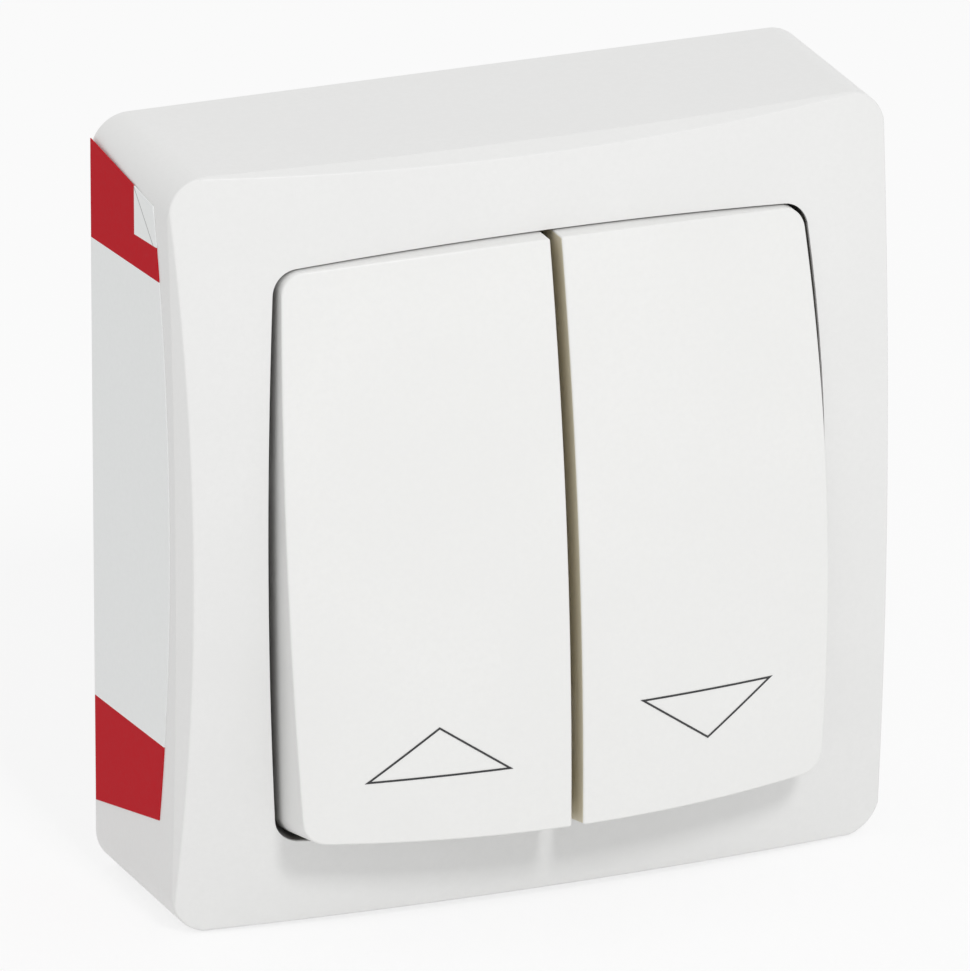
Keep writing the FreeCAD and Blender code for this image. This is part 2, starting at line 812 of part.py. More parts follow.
def seesaw_stop(side, name):
    """Rib under the lower end of a see-saw, where it rests while the circuit is off."""
    half = dim.seesaw_length / 2
    drop = half * sine(seesaw_tilt()) - dim.bead_lift * cosine(seesaw_tilt())
    top = seesaw_depth() - drop - dim.rest_gap
    return block(
        f"{name}_stop",
        about(side * dim.mechanism_offset, dim.seesaw_width),
        (floor_depth() - dim.housing_floor / 2, top),
        (-half, dim.strip_width - half),
    )


def clip_recess():
    back = housing_depth() - dim.clip_reach
    return (back - dim.latch_play, back + dim.clip_wall + dim.latch_play)


def frame_clip(name, x, z, nose_x, nose_z):
    """Leg and nose of one clip that holds the pivot frame on the housing."""
    back = housing_depth() - dim.clip_reach
    leg = block(f"{name}_leg", x, (back, housing_depth() + dim.frame_thickness), z)
    nose = block(f"{name}_nose", nose_x, (back, back + dim.clip_wall), nose_z)
    return [leg, nose]


def pivot_frame():
    """Plate that closes the housing, with four bearing ears, two windows and four clips."""
    half = dim.housing_width / 2
    low = partition_span()[0]
    plate = block(
        "frame_plate",
        (-half, half),
        (housing_depth(), housing_depth() + dim.frame_thickness),
        (low, dim.housing_top),
    )
    solids = [plate]
    tools = []
    bore = dim.trunnion_radius + dim.trunnion_play
    for side, name in SIDES:
        centre = side * dim.mechanism_offset
        inner = dim.actuator_width / 2 + dim.ear_play
        for place, edge in (("inner", -1), ("outer", 1)):
            x = span(edge, inner, inner + dim.ear_thickness)
            x = (centre + x[0], centre + x[1])
            solids.append(
                block(f"{name}_ear_{place}", x, (housing_depth(), pivot_depth()), about(as_size(0), dim.ear_width))
            )
            solids.append(bar(f"{name}_ear_{place}_top", bore + dim.ear_rim, x, pivot_depth(), 0))
        tools.append(
            bar(
                f"{name}_ear_bore",
                bore,
                (centre - inner - dim.ear_thickness - 1, centre + inner + dim.ear_thickness + 1),
                pivot_depth(),
                0,
            )
        )
        tools.append(
            block(
                f"{name}_window",
                about(centre, 2 * inner),
                (housing_depth() - 1, pivot_depth() + bore + dim.ear_rim + 1),
                about(as_size(0), dim.window_height),
            )
        )
        clip_z = about(as_size(0), dim.clip_width)
        solids += frame_clip(
            f"{name}_side_clip",
            span(side, half, half + dim.clip_wall),
            clip_z,
            span(side, half - dim.clip_nose / 2, half + dim.clip_wall / 2),
            clip_z,
        )
        clip_x = about(side * dim.terminal_offset, dim.clip_width)
        solids += frame_clip(
            f"{name}_top_clip",
            clip_x,
            (dim.housing_top, dim.housing_top + dim.clip_wall),
            clip_x,
            (dim.housing_top - dim.clip_nose / 2, dim.housing_top + dim.clip_wall / 2),
        )
    return cut("pivot_frame", fuse("frame_solids", *solids), *tools)


def place_rocker_piece(piece, name):
    """Moves a piece from the rocker's own frame, with the pivot at its origin, to its rest."""
    piece.Label = name
    piece.Placement = FreeCAD.Placement(FreeCAD.Vector(), FreeCAD.Rotation(TILT_OUT, dim.rocker_tilt.value))
    return bind(piece, {"Placement.Base.y": -pivot_depth(), "Placement.Rotation.Angle": dim.rocker_tilt})


def rocker_half_width():
    """Half width of the pair of rockers at its middle."""
    return dim.opening_width / 2 - dim.rocker_side_gap


def rocker_side(name, side, inset):
    """Large drum whose flank is the bowed outer side of a rocker."""
    radius = bow_radius(dim.opening_height / 2 - dim.opening_end_bow, dim.rocker_side_bow)
    return post(name, radius - inset, side * (rocker_half_width() - radius), (-FAR, FAR), 0)


def rocker_end(name, end, inset):
    """Large leaning drum whose flank is one end of the rockers. It is upright when that end is pushed in."""
    opening_radius = bow_radius(dim.opening_width / 2 - dim.opening_side_bow, dim.opening_end_bow)
    centre = dim.opening_height / 2 - opening_radius
    drum = doc.addObject("Part::Cylinder", name)
    drum.Placement.Rotation = TO_FRONT
    return bind(
        drum,
        {
            "Radius": opening_radius - dim.rocker_end_gap - inset,
            "Height": 2 * FAR,
            "Placement.Rotation.Angle": 90 + end * dim.rocker_tilt,
            "Placement.Base.y": FAR * cosine(dim.rocker_tilt) - centre * sine(dim.rocker_tilt),
            "Placement.Base.z": end * (FAR * sine(dim.rocker_tilt) + centre * cosine(dim.rocker_tilt)),
        },
    )


def rocker_dome(name, inset):
    """Ring whose outer side is the rockers' domed face, lower than that face by an inset."""
    ring = doc.addObject("Part::Torus", name)
    ring.Placement.Rotation = TO_RIGHT
    return bind(
        ring,
        {
            "Radius1": dim.face_radius_along - dim.face_radius_across,
            "Radius2": dim.face_radius_across - inset,
            "Placement.Base.y": dim.face_radius_along - dim.rocker_height,
        },
    )


def rocker_half(name, side, inset):
    """One half of the domed barrel that the pair of rockers forms, smaller all over by an inset."""
    foot = dim.skirt_foot if inset is None else dim.skirt_foot - 1
    skin = as_size(0) if inset is None else inset
    outline = common(
        name + "_outline",
        rocker_side(name + "_outer_side", side, skin),
        rocker_end(name + "_upper_end", 1, skin),
        rocker_end(name + "_lower_end", -1, skin),
        block(
            name + "_reach",
            span(side, dim.rocker_gap / 2 + skin, rocker_half_width() + 1),
            (foot, dim.rocker_height + 1),
            (-FAR, FAR),
        ),
    )
    corner = dim.opening_corner - dim.rocker_corner_ease - skin / 2
    outer = dim.mechanism_offset.value
    rounded = round_edges(
        name + "_corners", outline, corner, lambda edge: runs_along_depth(edge) and abs(middle(edge).x) > outer
    )
    return common(name, rounded, rocker_dome(name + "_dome", skin))


def rocker(side, name):
    """One rocker: a domed shell with skirts, four clip legs and a rib that rests on the actuator."""
    solid = rocker_half(f"{name}_solid", side, None)
    foot = dim.skirt_foot.value

    def chosen(edge):
        spot = middle(edge)
        inner_corner = runs_along_depth(edge) and abs(spot.x) < dim.rocker_gap.value
        return inner_corner or (not runs_along_depth(edge) and -spot.y > foot + 1)

    outside = round_edges(f"{name}_outside", solid, dim.rocker_round, chosen)
    shell = cut(f"{name}_shell", outside, rocker_half(f"{name}_cavity", side, dim.rocker_skin))
    centre = side * dim.mechanism_offset
    reach = dim.rocker_height
    grip = dim.actuator_width / 2 + dim.leg_play
    ribs = [
        block(
            f"{name}_rib",
            about(centre, dim.actuator_width),
            (dim.actuator_top, reach),
            about(as_size(0), dim.rib_width),
        )
    ]
    for edge in (-1, 1):
        x = span(edge, grip, grip + dim.leg_wall)
        for end in (-1, 1):
            z = span(end, dim.actuator_length / 2 - dim.leg_width, dim.actuator_length / 2)
            ribs.append(
                block(
                    f"{name}_leg_{'left' if edge < 0 else 'right'}_{'low' if end < 0 else 'high'}",
                    (centre + x[0], centre + x[1]),
                    (dim.actuator_top - dim.leg_hold, reach),
                    z,
                )
            )
    inner = common(f"{name}_ribs", fuse(f"{name}_rib_blocks", *ribs), outside)
    return place_rocker_piece(fuse(f"{name}_rocker", shell, inner), f"{name}_rocker")


def actuator(side, name):
    """Small tilting carrier under a rocker, with trunnions and the plunger's guide."""
    centre = side * dim.mechanism_offset
    half = dim.actuator_width / 2
    solids = fuse(
        f"{name}_actuator_solids",
        block(
            f"{name}_actuator_block",
            (centre - half, centre + half),
            (-dim.actuator_floor, dim.actuator_top),
            about(as_size(0), dim.actuator_length),
        ),
        block(
            f"{name}_actuator_cheeks",
            (centre - half, centre + half),
            (-dim.cheek_drop, 0),
            about(as_size(0), dim.cheek_width),
        ),
        post(f"{name}_guide", dim.guide_radius, centre, (-dim.guide_drop, 0), 0),
        bar(
            f"{name}_trunnions",
            dim.trunnion_radius,
            (centre - half - dim.trunnion_length, centre + half + dim.trunnion_length),
            0,
            0,
        ),
    )
    bore = post(
        f"{name}_guide_bore",
        dim.plunger_radius + dim.plunger_play,
        centre,
        (-dim.guide_drop - 1, dim.guide_top),
        0,
    )
    return place_rocker_piece(cut(f"{name}_actuator", solids, bore), f"{name}_actuator")


def plunger(side, name):
    """Round ended plunger that flips the see-saw as its rocker passes the middle."""
    centre = side * dim.mechanism_offset
    tip = dim.plunger_radius - dim.plunger_drop
    piece = fuse(
        f"{name}_plunger",
        post(f"{name}_plunger_shank", dim.plunger_radius, centre, (tip, -dim.plunger_top), 0),
        ball(f"{name}_plunger_tip", dim.plunger_radius, tip, x=centre),
    )
    return place_rocker_piece(piece, f"{name}_plunger")


def plunger_spring(side, name):
    """Compression spring between the plunger and the end of its guide bore."""
    centre = side * dim.mechanism_offset
    low = 1.2 * dim.spring_wire - dim.plunger_top
    height = dim.guide_top - 1.2 * dim.spring_wire - low
    helix = doc.addObject("Part::Helix", f"{name}_spring_path")
    helix.LocalCoord = "Right-handed"
    helix.Placement.Rotation = TO_FRONT
    bind(
        helix,
        {
            "Pitch": height / dim.spring_turns,
            "Height": height,
            "Radius": dim.spring_radius,
            "Placement.Base.x": centre,
            "Placement.Base.y": -low,
        },
    )
    wire = doc.addObject("Part::RegularPolygon", f"{name}_spring_wire")
    wire.Polygon = 12
    bind(
        wire,
        {
            "Circumradius": dim.spring_wire,
            "Placement.Base.x": centre + dim.spring_radius,
            "Placement.Base.y": -low,
        },
    )
    doc.recompute()
    coil = doc.addObject("Part::Sweep", f"{name}_spring_coil")
    coil.Sections = [wire]
    coil.Spine = (helix, [f"Edge{index}" for index in range(1, len(helix.Shape.Edges) + 1)])
    coil.Solid = True
    coil.Frenet = True
    return place_rocker_piece(group(f"{name}_plunger_spring", coil), f"{name}_plunger_spring")


def place_seesaw_piece(piece, name):
    """Moves a piece from the see-saw's own frame to its rest, lower end back."""
    piece.Label = name
    piece.Placement = FreeCAD.Placement(FreeCAD.Vector(), FreeCAD.Rotation(TILT_BACK, seesaw_tilt().value))
    return bind(piece, {"Placement.Base.y": -seesaw_depth(), "Placement.Rotation.Angle": seesaw_tilt()})


def seesaw(side, name):
    """Flat see-saw contact with a rolled pivot bead under its middle."""
    x = about(side * dim.mechanism_offset, dim.seesaw_width)
    plate = block(
        f"{name}_seesaw_plate",
        x,
        (dim.bead_lift, dim.bead_lift + dim.seesaw_thickness),
        about(as_size(0), dim.seesaw_length),
    )
    bead = bar(f"{name}_seesaw_bead", dim.bead_radius, x, 0, 0)
    return place_seesaw_piece(fuse(f"{name}_seesaw_contact", plate, bead), f"{name}_seesaw_contact")


def moving_button(side, name):
    """Silver contact button under the upper end of a see-saw."""
    button = post(
        f"{name}_moving_button_form",
        dim.button_radius,
        side * dim.mechanism_offset,
        (dim.bead_lift - dim.button_height, dim.bead_lift),
        dim.button_offset,
    )
    return place_seesaw_piece(group(f"{name}_moving_button", button), f"{name}_moving_button")


def fixed_buttons():
    buttons = [
        post(
            f"{name}_fixed_button",
            dim.button_radius,
            side * dim.mechanism_offset,
            (strip_top(), fixed_button_top()),
            dim.button_offset,
        )
        for side, name in SIDES
    ]
    return group("fixed_contact_buttons", *buttons)


def common_bar():
    """Brass bar from the common terminal to the two uprights on which the see-saws pivot."""
    reach = dim.mechanism_offset + dim.upright_width / 2
    low = terminal_span()[0]
    foot = (floor_depth(), strip_top())
    solids = [
        block("common_cross_strip", (-reach, reach), foot, about(as_size(0), dim.upright_thickness)),
        block("common_tail", about(as_size(0), dim.terminal_width), foot, (low, terminal_span()[1])),
        block("common_stem", about(as_size(0), dim.upright_width), foot, (low, dim.upright_thickness / 2)),
    ]
    notches = []
    for side, name in SIDES:
        x = about(side * dim.mechanism_offset, dim.upright_width)
        solids.append(
            block(
                f"{name}_upright",
                x,
                (floor_depth(), seesaw_depth() - dim.notch_drop),
                about(as_size(0), dim.upright_thickness),
            )
        )
        notches.append(bar(f"{name}_notch", dim.bead_radius + dim.bead_play, (x[0] - 1, x[1] + 1), seesaw_depth(), 0))
    return cut("common_bar", fuse("common_solids", *solids), *notches)


def output_strip(side, name):
    """Flat strip from a fixed contact button round the chamber to the output terminal."""
    outer = dim.terminal_offset + dim.terminal_width / 2
    inner = outer - dim.strip_width
    head = dim.mechanism_offset - dim.button_radius - dim.strip_play
    top = dim.button_offset + dim.button_radius + dim.strip_play
    under = dim.button_offset - dim.button_radius - dim.strip_play
    low, high = terminal_span()
    near = dim.terminal_offset - dim.terminal_width / 2
    corners = [
        (head, top),
        (head, under),
        (inner, under),
        (inner, high),
        (near, high),
        (near, low),
        (outer, low),
        (outer, top),
    ]
    if side > 0:
        corners.reverse()
    corners = [(side * x, z) for x, z in corners]
    corners.reverse()
    return prism(f"{name}_output_strip", corners, (floor_depth(), strip_top()))


def terminal_blocks():
    """Three brass pillar terminals, each with a wire bore and a threaded hole."""
    blocks = []
    for name, centre in terminal_centres():
        top = strip_top() + dim.terminal_height
        low, high = terminal_span()
        axis = strip_top() + dim.wire_depth
        pillar = block(f"{name}_pillar", about(centre, dim.terminal_width), (strip_top(), top), (low, high))
        wire = stalk(f"{name}_wire_bore", dim.wire_radius, centre, axis, (low - 1, high + 1))
        thread = post(
            f"{name}_thread",
            dim.terminal_screw_radius + dim.thread_play,
            centre,
            (axis, top + 1),
            (low + high) / 2,
        )
        blocks.append(cut(f"{name}_terminal_block", pillar, wire, thread))
    return group("terminal_blocks", *blocks)


def slotted_screw(name, x, z, seat, tip, radius, head_radius, head_height):
    """Screw with a slotted pan head, its head seated at a depth."""
    head = post(f"{name}_head", head_radius, x, (seat, seat + head_height), z)
    shank = post(f"{name}_shank", radius, x, (tip, seat + head_height / 2), z)
    slot = block(
        f"{name}_slot",
        about(x, 3 * head_radius),
        (seat + head_height / 2, seat + 2 * head_height),
        about(as_size(z), dim.screw_slot),
    )
    return cut(name, fuse(f"{name}_solid", head, shank), slot)


def terminal_screws():
    screws = []
    for name, centre in terminal_centres():
        top = strip_top() + dim.terminal_height
        screws.append(
            slotted_screw(
                f"{name}_terminal_screw",
                centre,
                (terminal_span()[0] + terminal_span()[1]) / 2,
                top + dim.terminal_head_gap,
                strip_top() + dim.wire_depth + dim.wire_radius,
                dim.terminal_screw_radius,
                dim.terminal_head_radius,
                dim.terminal_head_height,
            )
        )
    return group("terminal_screws", *screws)


def mechanism_screws():
    screws = []
    for side in (-1, 1):
        x, z = lug_place(side)
        screws.append(
            slotted_screw(
                f"mechanism_screw_{'left' if side < 0 else 'right'}",
                x,
                z,
                dim.lug_depth + dim.lug_thickness,
                dim.base_thickness / 2,
                dim.screw_radius,
                dim.screw_head_radius,
                dim.screw_head_height,
            )
        )
    return group("mechanism_screws", *screws)


def triangle(name, centre, low, point_up, inset):
    """Prism over an isosceles triangle, smaller all round by an inset."""
    half = dim.mark_width / 2
    flank = root(half * half + dim.mark_height * dim.mark_height)
    inner_radius = half * dim.mark_height / (half + flank)
    share = 1 - as_size(inset) / inner_radius
    base = low if point_up else low + dim.mark_height
    turn = 1 if point_up else -1
    middle_z = base + turn * inner_radius
    flat = middle_z - turn * inner_radius * share
    point = middle_z + turn * (dim.mark_height - inner_radius) * share
    corners = [(centre - half * share, flat), (centre + half * share, flat), (centre, point)]
    if not point_up:
        corners.reverse()
    face = dim.rocker_height
    return prism(name, corners, (face - 4, face + 1))


def printed_mark(side, name):
    """Thin printed triangle that follows a rocker's domed face."""
    centre = side * dim.mark_offset
    low = -dim.mark_drop
    point_up = side == UP
    line = cut(
        f"{name}_mark_line",
        triangle(f"{name}_mark_outside", centre, low, point_up, 0),
        triangle(f"{name}_mark_inside", centre, low, point_up, dim.mark_line),
    )
    film = cut(
        f"{name}_mark_film",
        rocker_dome(f"{name}_mark_top", -dim.mark_thickness),
        rocker_dome(f"{name}_mark_bottom", as_size(0)),
    )
    return place_rocker_piece(common(f"{name}_printed_mark", line, film), f"{name}_printed_mark")


def side_label():
    """Thin paper label on the left wall. Its front edge is bowed like the wall's front edge."""
    half_width = dim.cover_width / 2
    corners = [
        (-dim.label_back, dim.label_top),
        (-dim.label_top_depth, dim.label_top - dim.label_top_fall),
        (-dim.label_bottom_depth, dim.label_bottom_rise - dim.label_bottom),
        (-dim.label_back, -dim.label_bottom),
    ]
    cutter = prism(
        "label_outline",
        corners,
        (-1 - half_width, 2 - half_width),
        role="YZ_Plane",
        radii=[None, dim.label_bow_radius, None, None],
    )
    paper = cut(
        "label_paper",
        drafted_block("label_outer_block", -dim.label_thickness),
        drafted_block("label_inner_block", as_size(0)),
    )
    return common("side_label", cutter, paper)


def build_all():
    nodes = [
        surround_cover(),
        wall_base(),
        mechanism_housing(),
        pivot_frame(),
        common_bar(),
        fixed_buttons(),
        terminal_blocks(),
        terminal_screws(),
        mechanism_screws(),
        side_label(),
    ]
    for side, name in SIDES:
        nodes += [
            rocker(side, name),
            actuator(side, name),
            plunger(side, name),
            plunger_spring(side, name),
            seesaw(side, name),
            moving_button(side, name),
            output_strip(side, name),
            printed_mark(side, name),
        ]
    return nodes


def check_and_export(nodes):
    """Stops at the first failed object or bad shape, then writes one file for each node."""
    doc.recompute()
    for item in doc.Objects:
        if "Invalid" in item.State or "Error" in item.State:
            raise RuntimeError(f"{item.Name} is {item.State}")
    for node in nodes:
        if node.Shape.isNull() or not node.Shape.isValid() or not node.Shape.Solids:
            raise RuntimeError(f"{node.Label} has no valid solid")
    os.makedirs("parts", exist_ok=True)
    for node in nodes:
        node.Shape.exportStep(f"parts/{node.Label}.step")
        print(f"{node.Label}: {len(node.Shape.Solids)} solids, {node.Shape.Volume:.2f} mm3")


check_and_export(build_all())
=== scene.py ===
import json
import math

import bpy
from bpy.props import FloatProperty, FloatVectorProperty, PointerProperty
from mathutils import Matrix, Vector


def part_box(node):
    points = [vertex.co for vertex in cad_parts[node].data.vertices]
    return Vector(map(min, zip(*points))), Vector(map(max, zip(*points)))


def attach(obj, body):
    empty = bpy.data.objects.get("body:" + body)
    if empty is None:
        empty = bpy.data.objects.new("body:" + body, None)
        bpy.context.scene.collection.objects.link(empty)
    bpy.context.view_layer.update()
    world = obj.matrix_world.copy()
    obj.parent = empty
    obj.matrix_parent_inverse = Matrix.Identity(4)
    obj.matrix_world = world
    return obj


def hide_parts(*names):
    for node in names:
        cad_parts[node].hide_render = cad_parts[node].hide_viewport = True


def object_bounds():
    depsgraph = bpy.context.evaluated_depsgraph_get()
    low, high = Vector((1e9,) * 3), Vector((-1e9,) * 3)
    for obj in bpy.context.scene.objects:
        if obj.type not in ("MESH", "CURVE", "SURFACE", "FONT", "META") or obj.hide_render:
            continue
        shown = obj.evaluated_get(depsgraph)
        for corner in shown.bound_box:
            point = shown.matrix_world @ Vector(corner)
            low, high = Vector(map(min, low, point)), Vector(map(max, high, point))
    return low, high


bl_info = {
    "name": "Roller Shutter Switch",
    "version": (1, 0, 0),
    "blender": (4, 5, 0),
    "location": "3D View > Sidebar > Shutter Switch",
    "description": "Finishes a surface mounted roller shutter switch and lights it",
    "category": "Object",
}

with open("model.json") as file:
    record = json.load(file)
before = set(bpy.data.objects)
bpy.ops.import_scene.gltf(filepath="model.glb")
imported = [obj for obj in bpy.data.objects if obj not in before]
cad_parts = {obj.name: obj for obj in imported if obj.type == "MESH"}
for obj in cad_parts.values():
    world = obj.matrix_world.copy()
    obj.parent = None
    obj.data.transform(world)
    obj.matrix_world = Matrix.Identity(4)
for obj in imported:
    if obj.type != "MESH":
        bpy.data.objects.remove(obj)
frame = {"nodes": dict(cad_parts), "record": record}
CAD_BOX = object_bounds()

# The domed faces, in metres. The cover's dome falls from its centre to the cover's upper end, and
# the rockers' face is the outer side of a ring, whose height is counted from the pivot axis.
COVER_DOME_FALL = 0.00419
COVER_DOME_DEPTH = 0.0285
COVER_HALF_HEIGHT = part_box("surround_cover")[1][2]
COVER_DOME_RADIUS = (COVER_HALF_HEIGHT**2 + COVER_DOME_FALL**2) / (2 * COVER_DOME_FALL)
FACE_RADIUS_ACROSS = 0.112
FACE_RADIUS_ALONG = 0.268
FACE_HEIGHT = 0.0138
ON_DOME = 0.00002

# The collar inside the cover's opening: half sizes, and how far under the dome its painted shade starts.
COLLAR_HALF_WIDTH = 0.0312
COLLAR_HALF_HEIGHT = 0.0328
COLLAR_EDGE = 0.0004

# The places of the print are in millimetres on the label: depth from the wall, and height.
UPPER_BLOCK = ((0.0, 27.4), (18.5, 28.6))
LOWER_BLOCK = ((0.0, -21.3), (18.5, -20.3))
NOTCH_FLOOR = ((12.1, 31.55), (17.7, 32.0))
NOTCH_SIDE = 12.15
# The fold across the bare corner, and half the width of the painted shade line along it.
NOTCH_FOLD = ((12.7, 36.0), (17.2, 32.0))
NOTCH_FOLD_HALF = 0.12

# The stage. Its lengths are in metres, but the width of the camera's sensor is in millimetres. The
# floor's glow is the share of it that shows as plain white.
FLOOR_SIZE = 12.0
FLOOR_GLOW = 0.8
LAMP_PLACE = (0.0, -1.53, 1.29)
LAMP_SIZE = 0.3
LAMP_AIM = (0.0, -0.02, 0.0)
SENSOR_WIDTH = 36.0
NEAREST = 0.05
FARTHEST = 50.0


class PlasticSettings(bpy.types.PropertyGroup):
    """Colours and surface of the moulded pieces."""

    cover_color: FloatVectorProperty(
        name="Cover",
        description="Colour of the surround cover",
        subtype="COLOR",
        size=3,
        min=0.0,
        max=1.0,
        default=(0.82, 0.82, 0.812),
    )
    rocker_color: FloatVectorProperty(
        name="Rockers",
        description="Colour of the two rockers",
        subtype="COLOR",
        size=3,
        min=0.0,
        max=1.0,
        default=(0.84, 0.84, 0.828),
    )
    # Painted shade: the walls in the gap between the rockers get this darker, warmer colour in place of the
    # shade and warm bounce light there, not a yellowed or rougher plastic.
    gap_shade_color: FloatVectorProperty(
        name="Gap walls",
        description="Colour of the rough, yellowed walls between the two rockers",
        subtype="COLOR",
        size=3,
        min=0.0,
        max=1.0,
        default=(0.8, 0.745, 0.6),
    )
    # Painted shade: the white collar inside the cover's opening gets this dark colour in place of the shade
    # in the gap round the rockers; it is no rougher than the cover.
    collar_shade_color: FloatVectorProperty(
        name="Collar",
        description="Colour of the rough collar inside the cover's opening",
        subtype="COLOR",
        size=3,
        min=0.0,
        max=1.0,
        default=(0.16, 0.153, 0.138),
    )
    base_color: FloatVectorProperty(
        name="Wall base",
        description="Colour of the wall base and the pivot frame",
        subtype="COLOR",
        size=3,
        min=0.0,
        max=1.0,
        default=(0.7, 0.7, 0.68),
    )
    housing_color: FloatVectorProperty(
        name="Housing",
        description="Colour of the mechanism housing",
        subtype="COLOR",
        size=3,
        min=0.0,
        max=1.0,
        default=(0.33, 0.31, 0.27),
    )
    plunger_color: FloatVectorProperty(
        name="Plungers",
        description="Colour of the two plungers",
        subtype="COLOR",
        size=3,
        min=0.0,
        max=1.0,
        default=(0.05, 0.05, 0.055),
    )
    grain_size: FloatProperty(
        name="Grain size",
        description="Width of one grain of the moulded surface",
        subtype="DISTANCE",
        min=0.0001,
        max=0.005,
        default=0.0006,
    )


class PrintSettings(bpy.types.PropertyGroup):
    """Colours of the side label and of the printed triangles."""

    paper_color: FloatVectorProperty(
        name="Paper",
        description="Colour of the label's bare paper",
        subtype="COLOR",
        size=3,
        min=0.0,
        max=1.0,
        default=(0.92, 0.935, 0.93),
    )
    block_color: FloatVectorProperty(
        name="Blocks",
        description="Colour of the two printed ends of the label",
        subtype="COLOR",
        size=3,
        min=0.0,
        max=1.0,
        default=(0.55, 0.009, 0.018),
    )
    ink_color: FloatVectorProperty(
        name="Ink",
        description="Colour of the printed triangles",
        subtype="COLOR",
        size=3,
        min=0.0,
        max=1.0,
        default=(0.012, 0.012, 0.014),
    )


class MetalSettings(bpy.types.PropertyGroup):
    """Colours of the contact parts and the screws."""

    brass_color: FloatVectorProperty(
        name="Brass",
        description="Colour of the strips, the bar and the terminals",
        subtype="COLOR",
        size=3,
        min=0.0,
        max=1.0,
        default=(0.62, 0.42, 0.14),
    )
    steel_color: FloatVectorProperty(
        name="Steel",
        description="Colour of the screws and the springs",
        subtype="COLOR",
        size=3,
        min=0.0,
        max=1.0,
        default=(0.55, 0.55, 0.56),
    )
    silver_color: FloatVectorProperty(
        name="Silver",
        description="Colour of the contact buttons",
        subtype="COLOR",
        size=3,
        min=0.0,
        max=1.0,
        default=(0.8, 0.79, 0.76),
    )


class StageSettings(bpy.types.PropertyGroup):
    """Camera and lights."""

    view_azimuth: FloatProperty(
        name="Azimuth",
        description="Angle of the camera to the left of the switch's front",
        subtype="ANGLE",
        default=math.radians(22.023),
    )
    view_elevation: FloatProperty(
        name="Elevation",
        description="Angle of the camera above the switch",
        subtype="ANGLE",
        default=math.radians(20.232),
    )
    view_distance: FloatProperty(
        name="Distance",
        description="Distance of the camera from the point it looks at",
        subtype="DISTANCE",
        default=1.6694,
    )
    view_lens: FloatProperty(
        name="Lens",
        description="Focal length of the camera, in millimetres",
        default=619.14,
    )
    view_target: FloatVectorProperty(
        name="Target",
        description="Point that the camera looks at",
        subtype="TRANSLATION",
        size=3,
        default=(-0.0022895, -0.015, 0.0010669),
    )
    world_strength: FloatProperty(
        name="Room light",
        description="Strength of the even light from all sides",
        min=0.0,
        default=0.72,
    )
    key_power: FloatProperty(
        name="Key light",
        description="Power of the lamp high in front",
        subtype="POWER",
        min=0.0,
        default=12.0,
    )


class SwitchSettings(bpy.types.PropertyGroup):
    """All settings of the switch."""

    plastic: PointerProperty(type=PlasticSettings)
    label: PointerProperty(type=PrintSettings)
    metal: PointerProperty(type=MetalSettings)
    stage: PointerProperty(type=StageSettings)


def settings():
    """The settings that the panel shows."""
    return bpy.context.scene.shutter_switch


def pick_only(piece):
    """Selects one object and makes it active."""
    bpy.ops.object.select_all(action="DESELECT")
    piece.select_set(True)
    bpy.context.view_layer.objects.active = piece


def body_of_node(node):
    """Moving body that a CAD node belongs to."""
    bodies = frame["record"]["behaviour"]["bodies"]
    return next(body for body, members in bodies.items() if node in members)


def smooth_shell(node, material, crease=30.0):
    """Makes the shown surface of a CAD node: one closed mesh with smooth curves and crisp edges."""
    piece = bpy.data.objects.new(node + "_surface", frame["nodes"][node].data.copy())
    bpy.context.scene.collection.objects.link(piece)
    pick_only(piece)
    bpy.ops.object.mode_set(mode="EDIT")
    bpy.ops.mesh.select_all(action="SELECT")
    bpy.ops.mesh.remove_doubles(threshold=0.000001)
    bpy.ops.object.mode_set(mode="OBJECT")
    bpy.ops.object.shade_smooth_by_angle(angle=math.radians(crease))
    weighting = piece.modifiers.new("Face weight", "WEIGHTED_NORMAL")
    weighting.keep_sharp = True
    bpy.ops.object.modifier_apply(modifier=weighting.name)
    piece.data.materials.clear()
    piece.data.materials.append(material)
    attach(piece, body_of_node(node))
    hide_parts(node)
    return piece


def cover_dome_normal(point):
    """Normal of the cover's spherical front, or None away from it."""
    out = point - Vector((0.0, COVER_DOME_RADIUS - COVER_DOME_DEPTH, 0.0))
    return out.normalized() if abs(out.length - COVER_DOME_RADIUS) < ON_DOME else None


def rocker_face_normal(point):
    """Normal of the rockers' face, which is the outer side of a ring, or None away from it."""
    joint = next(j for j in frame["record"]["behaviour"]["joints"] if j["name"] == "up_rocker_tilt")
    pivot = Vector((0.0, joint["pos_m"][1], joint["pos_m"][2]))
    tilt = Matrix.Rotation(math.radians(joint["range_deg"][1]) / 2, 3, "X")
    place = tilt @ (point - pivot)
    centre = Vector((0.0, FACE_RADIUS_ALONG - FACE_HEIGHT, 0.0))
    ring = FACE_RADIUS_ALONG - FACE_RADIUS_ACROSS
    spoke = Vector((0.0, place.y - centre.y, place.z)).normalized()
    out = place - centre - spoke * ring
    if abs(out.length - FACE_RADIUS_ACROSS) > ON_DOME:
        return None
    return (tilt.inverted() @ out).normalized()


def true_normals(piece, normal_at):
    """Gives the faces that lie on a known curved surface that surface's own normals."""
    mesh = piece.data
    normals = [corner.vector.copy() for corner in mesh.corner_normals]
    for face in mesh.polygons:
        exact = [normal_at(mesh.vertices[index].co) for index in face.vertices]
        if None in exact or face.normal.dot(exact[0]) < 0.99:
            continue
        for loop, normal in zip(face.loop_indices, exact):
            normals[loop] = normal
    mesh.normals_split_custom_set(normals)


def dress_node(node, material):
    """Gives a CAD node that stays as it is its finish."""
    piece = frame["nodes"][node]
    piece.data.materials.clear()
    piece.data.materials.append(material)


def add_socket(group, name, kind, direction, default=None):
    socket = group.interface.new_socket(name=name, in_out=direction, socket_type=kind)
    if default is not None:
        socket.default_value = default
    return socket


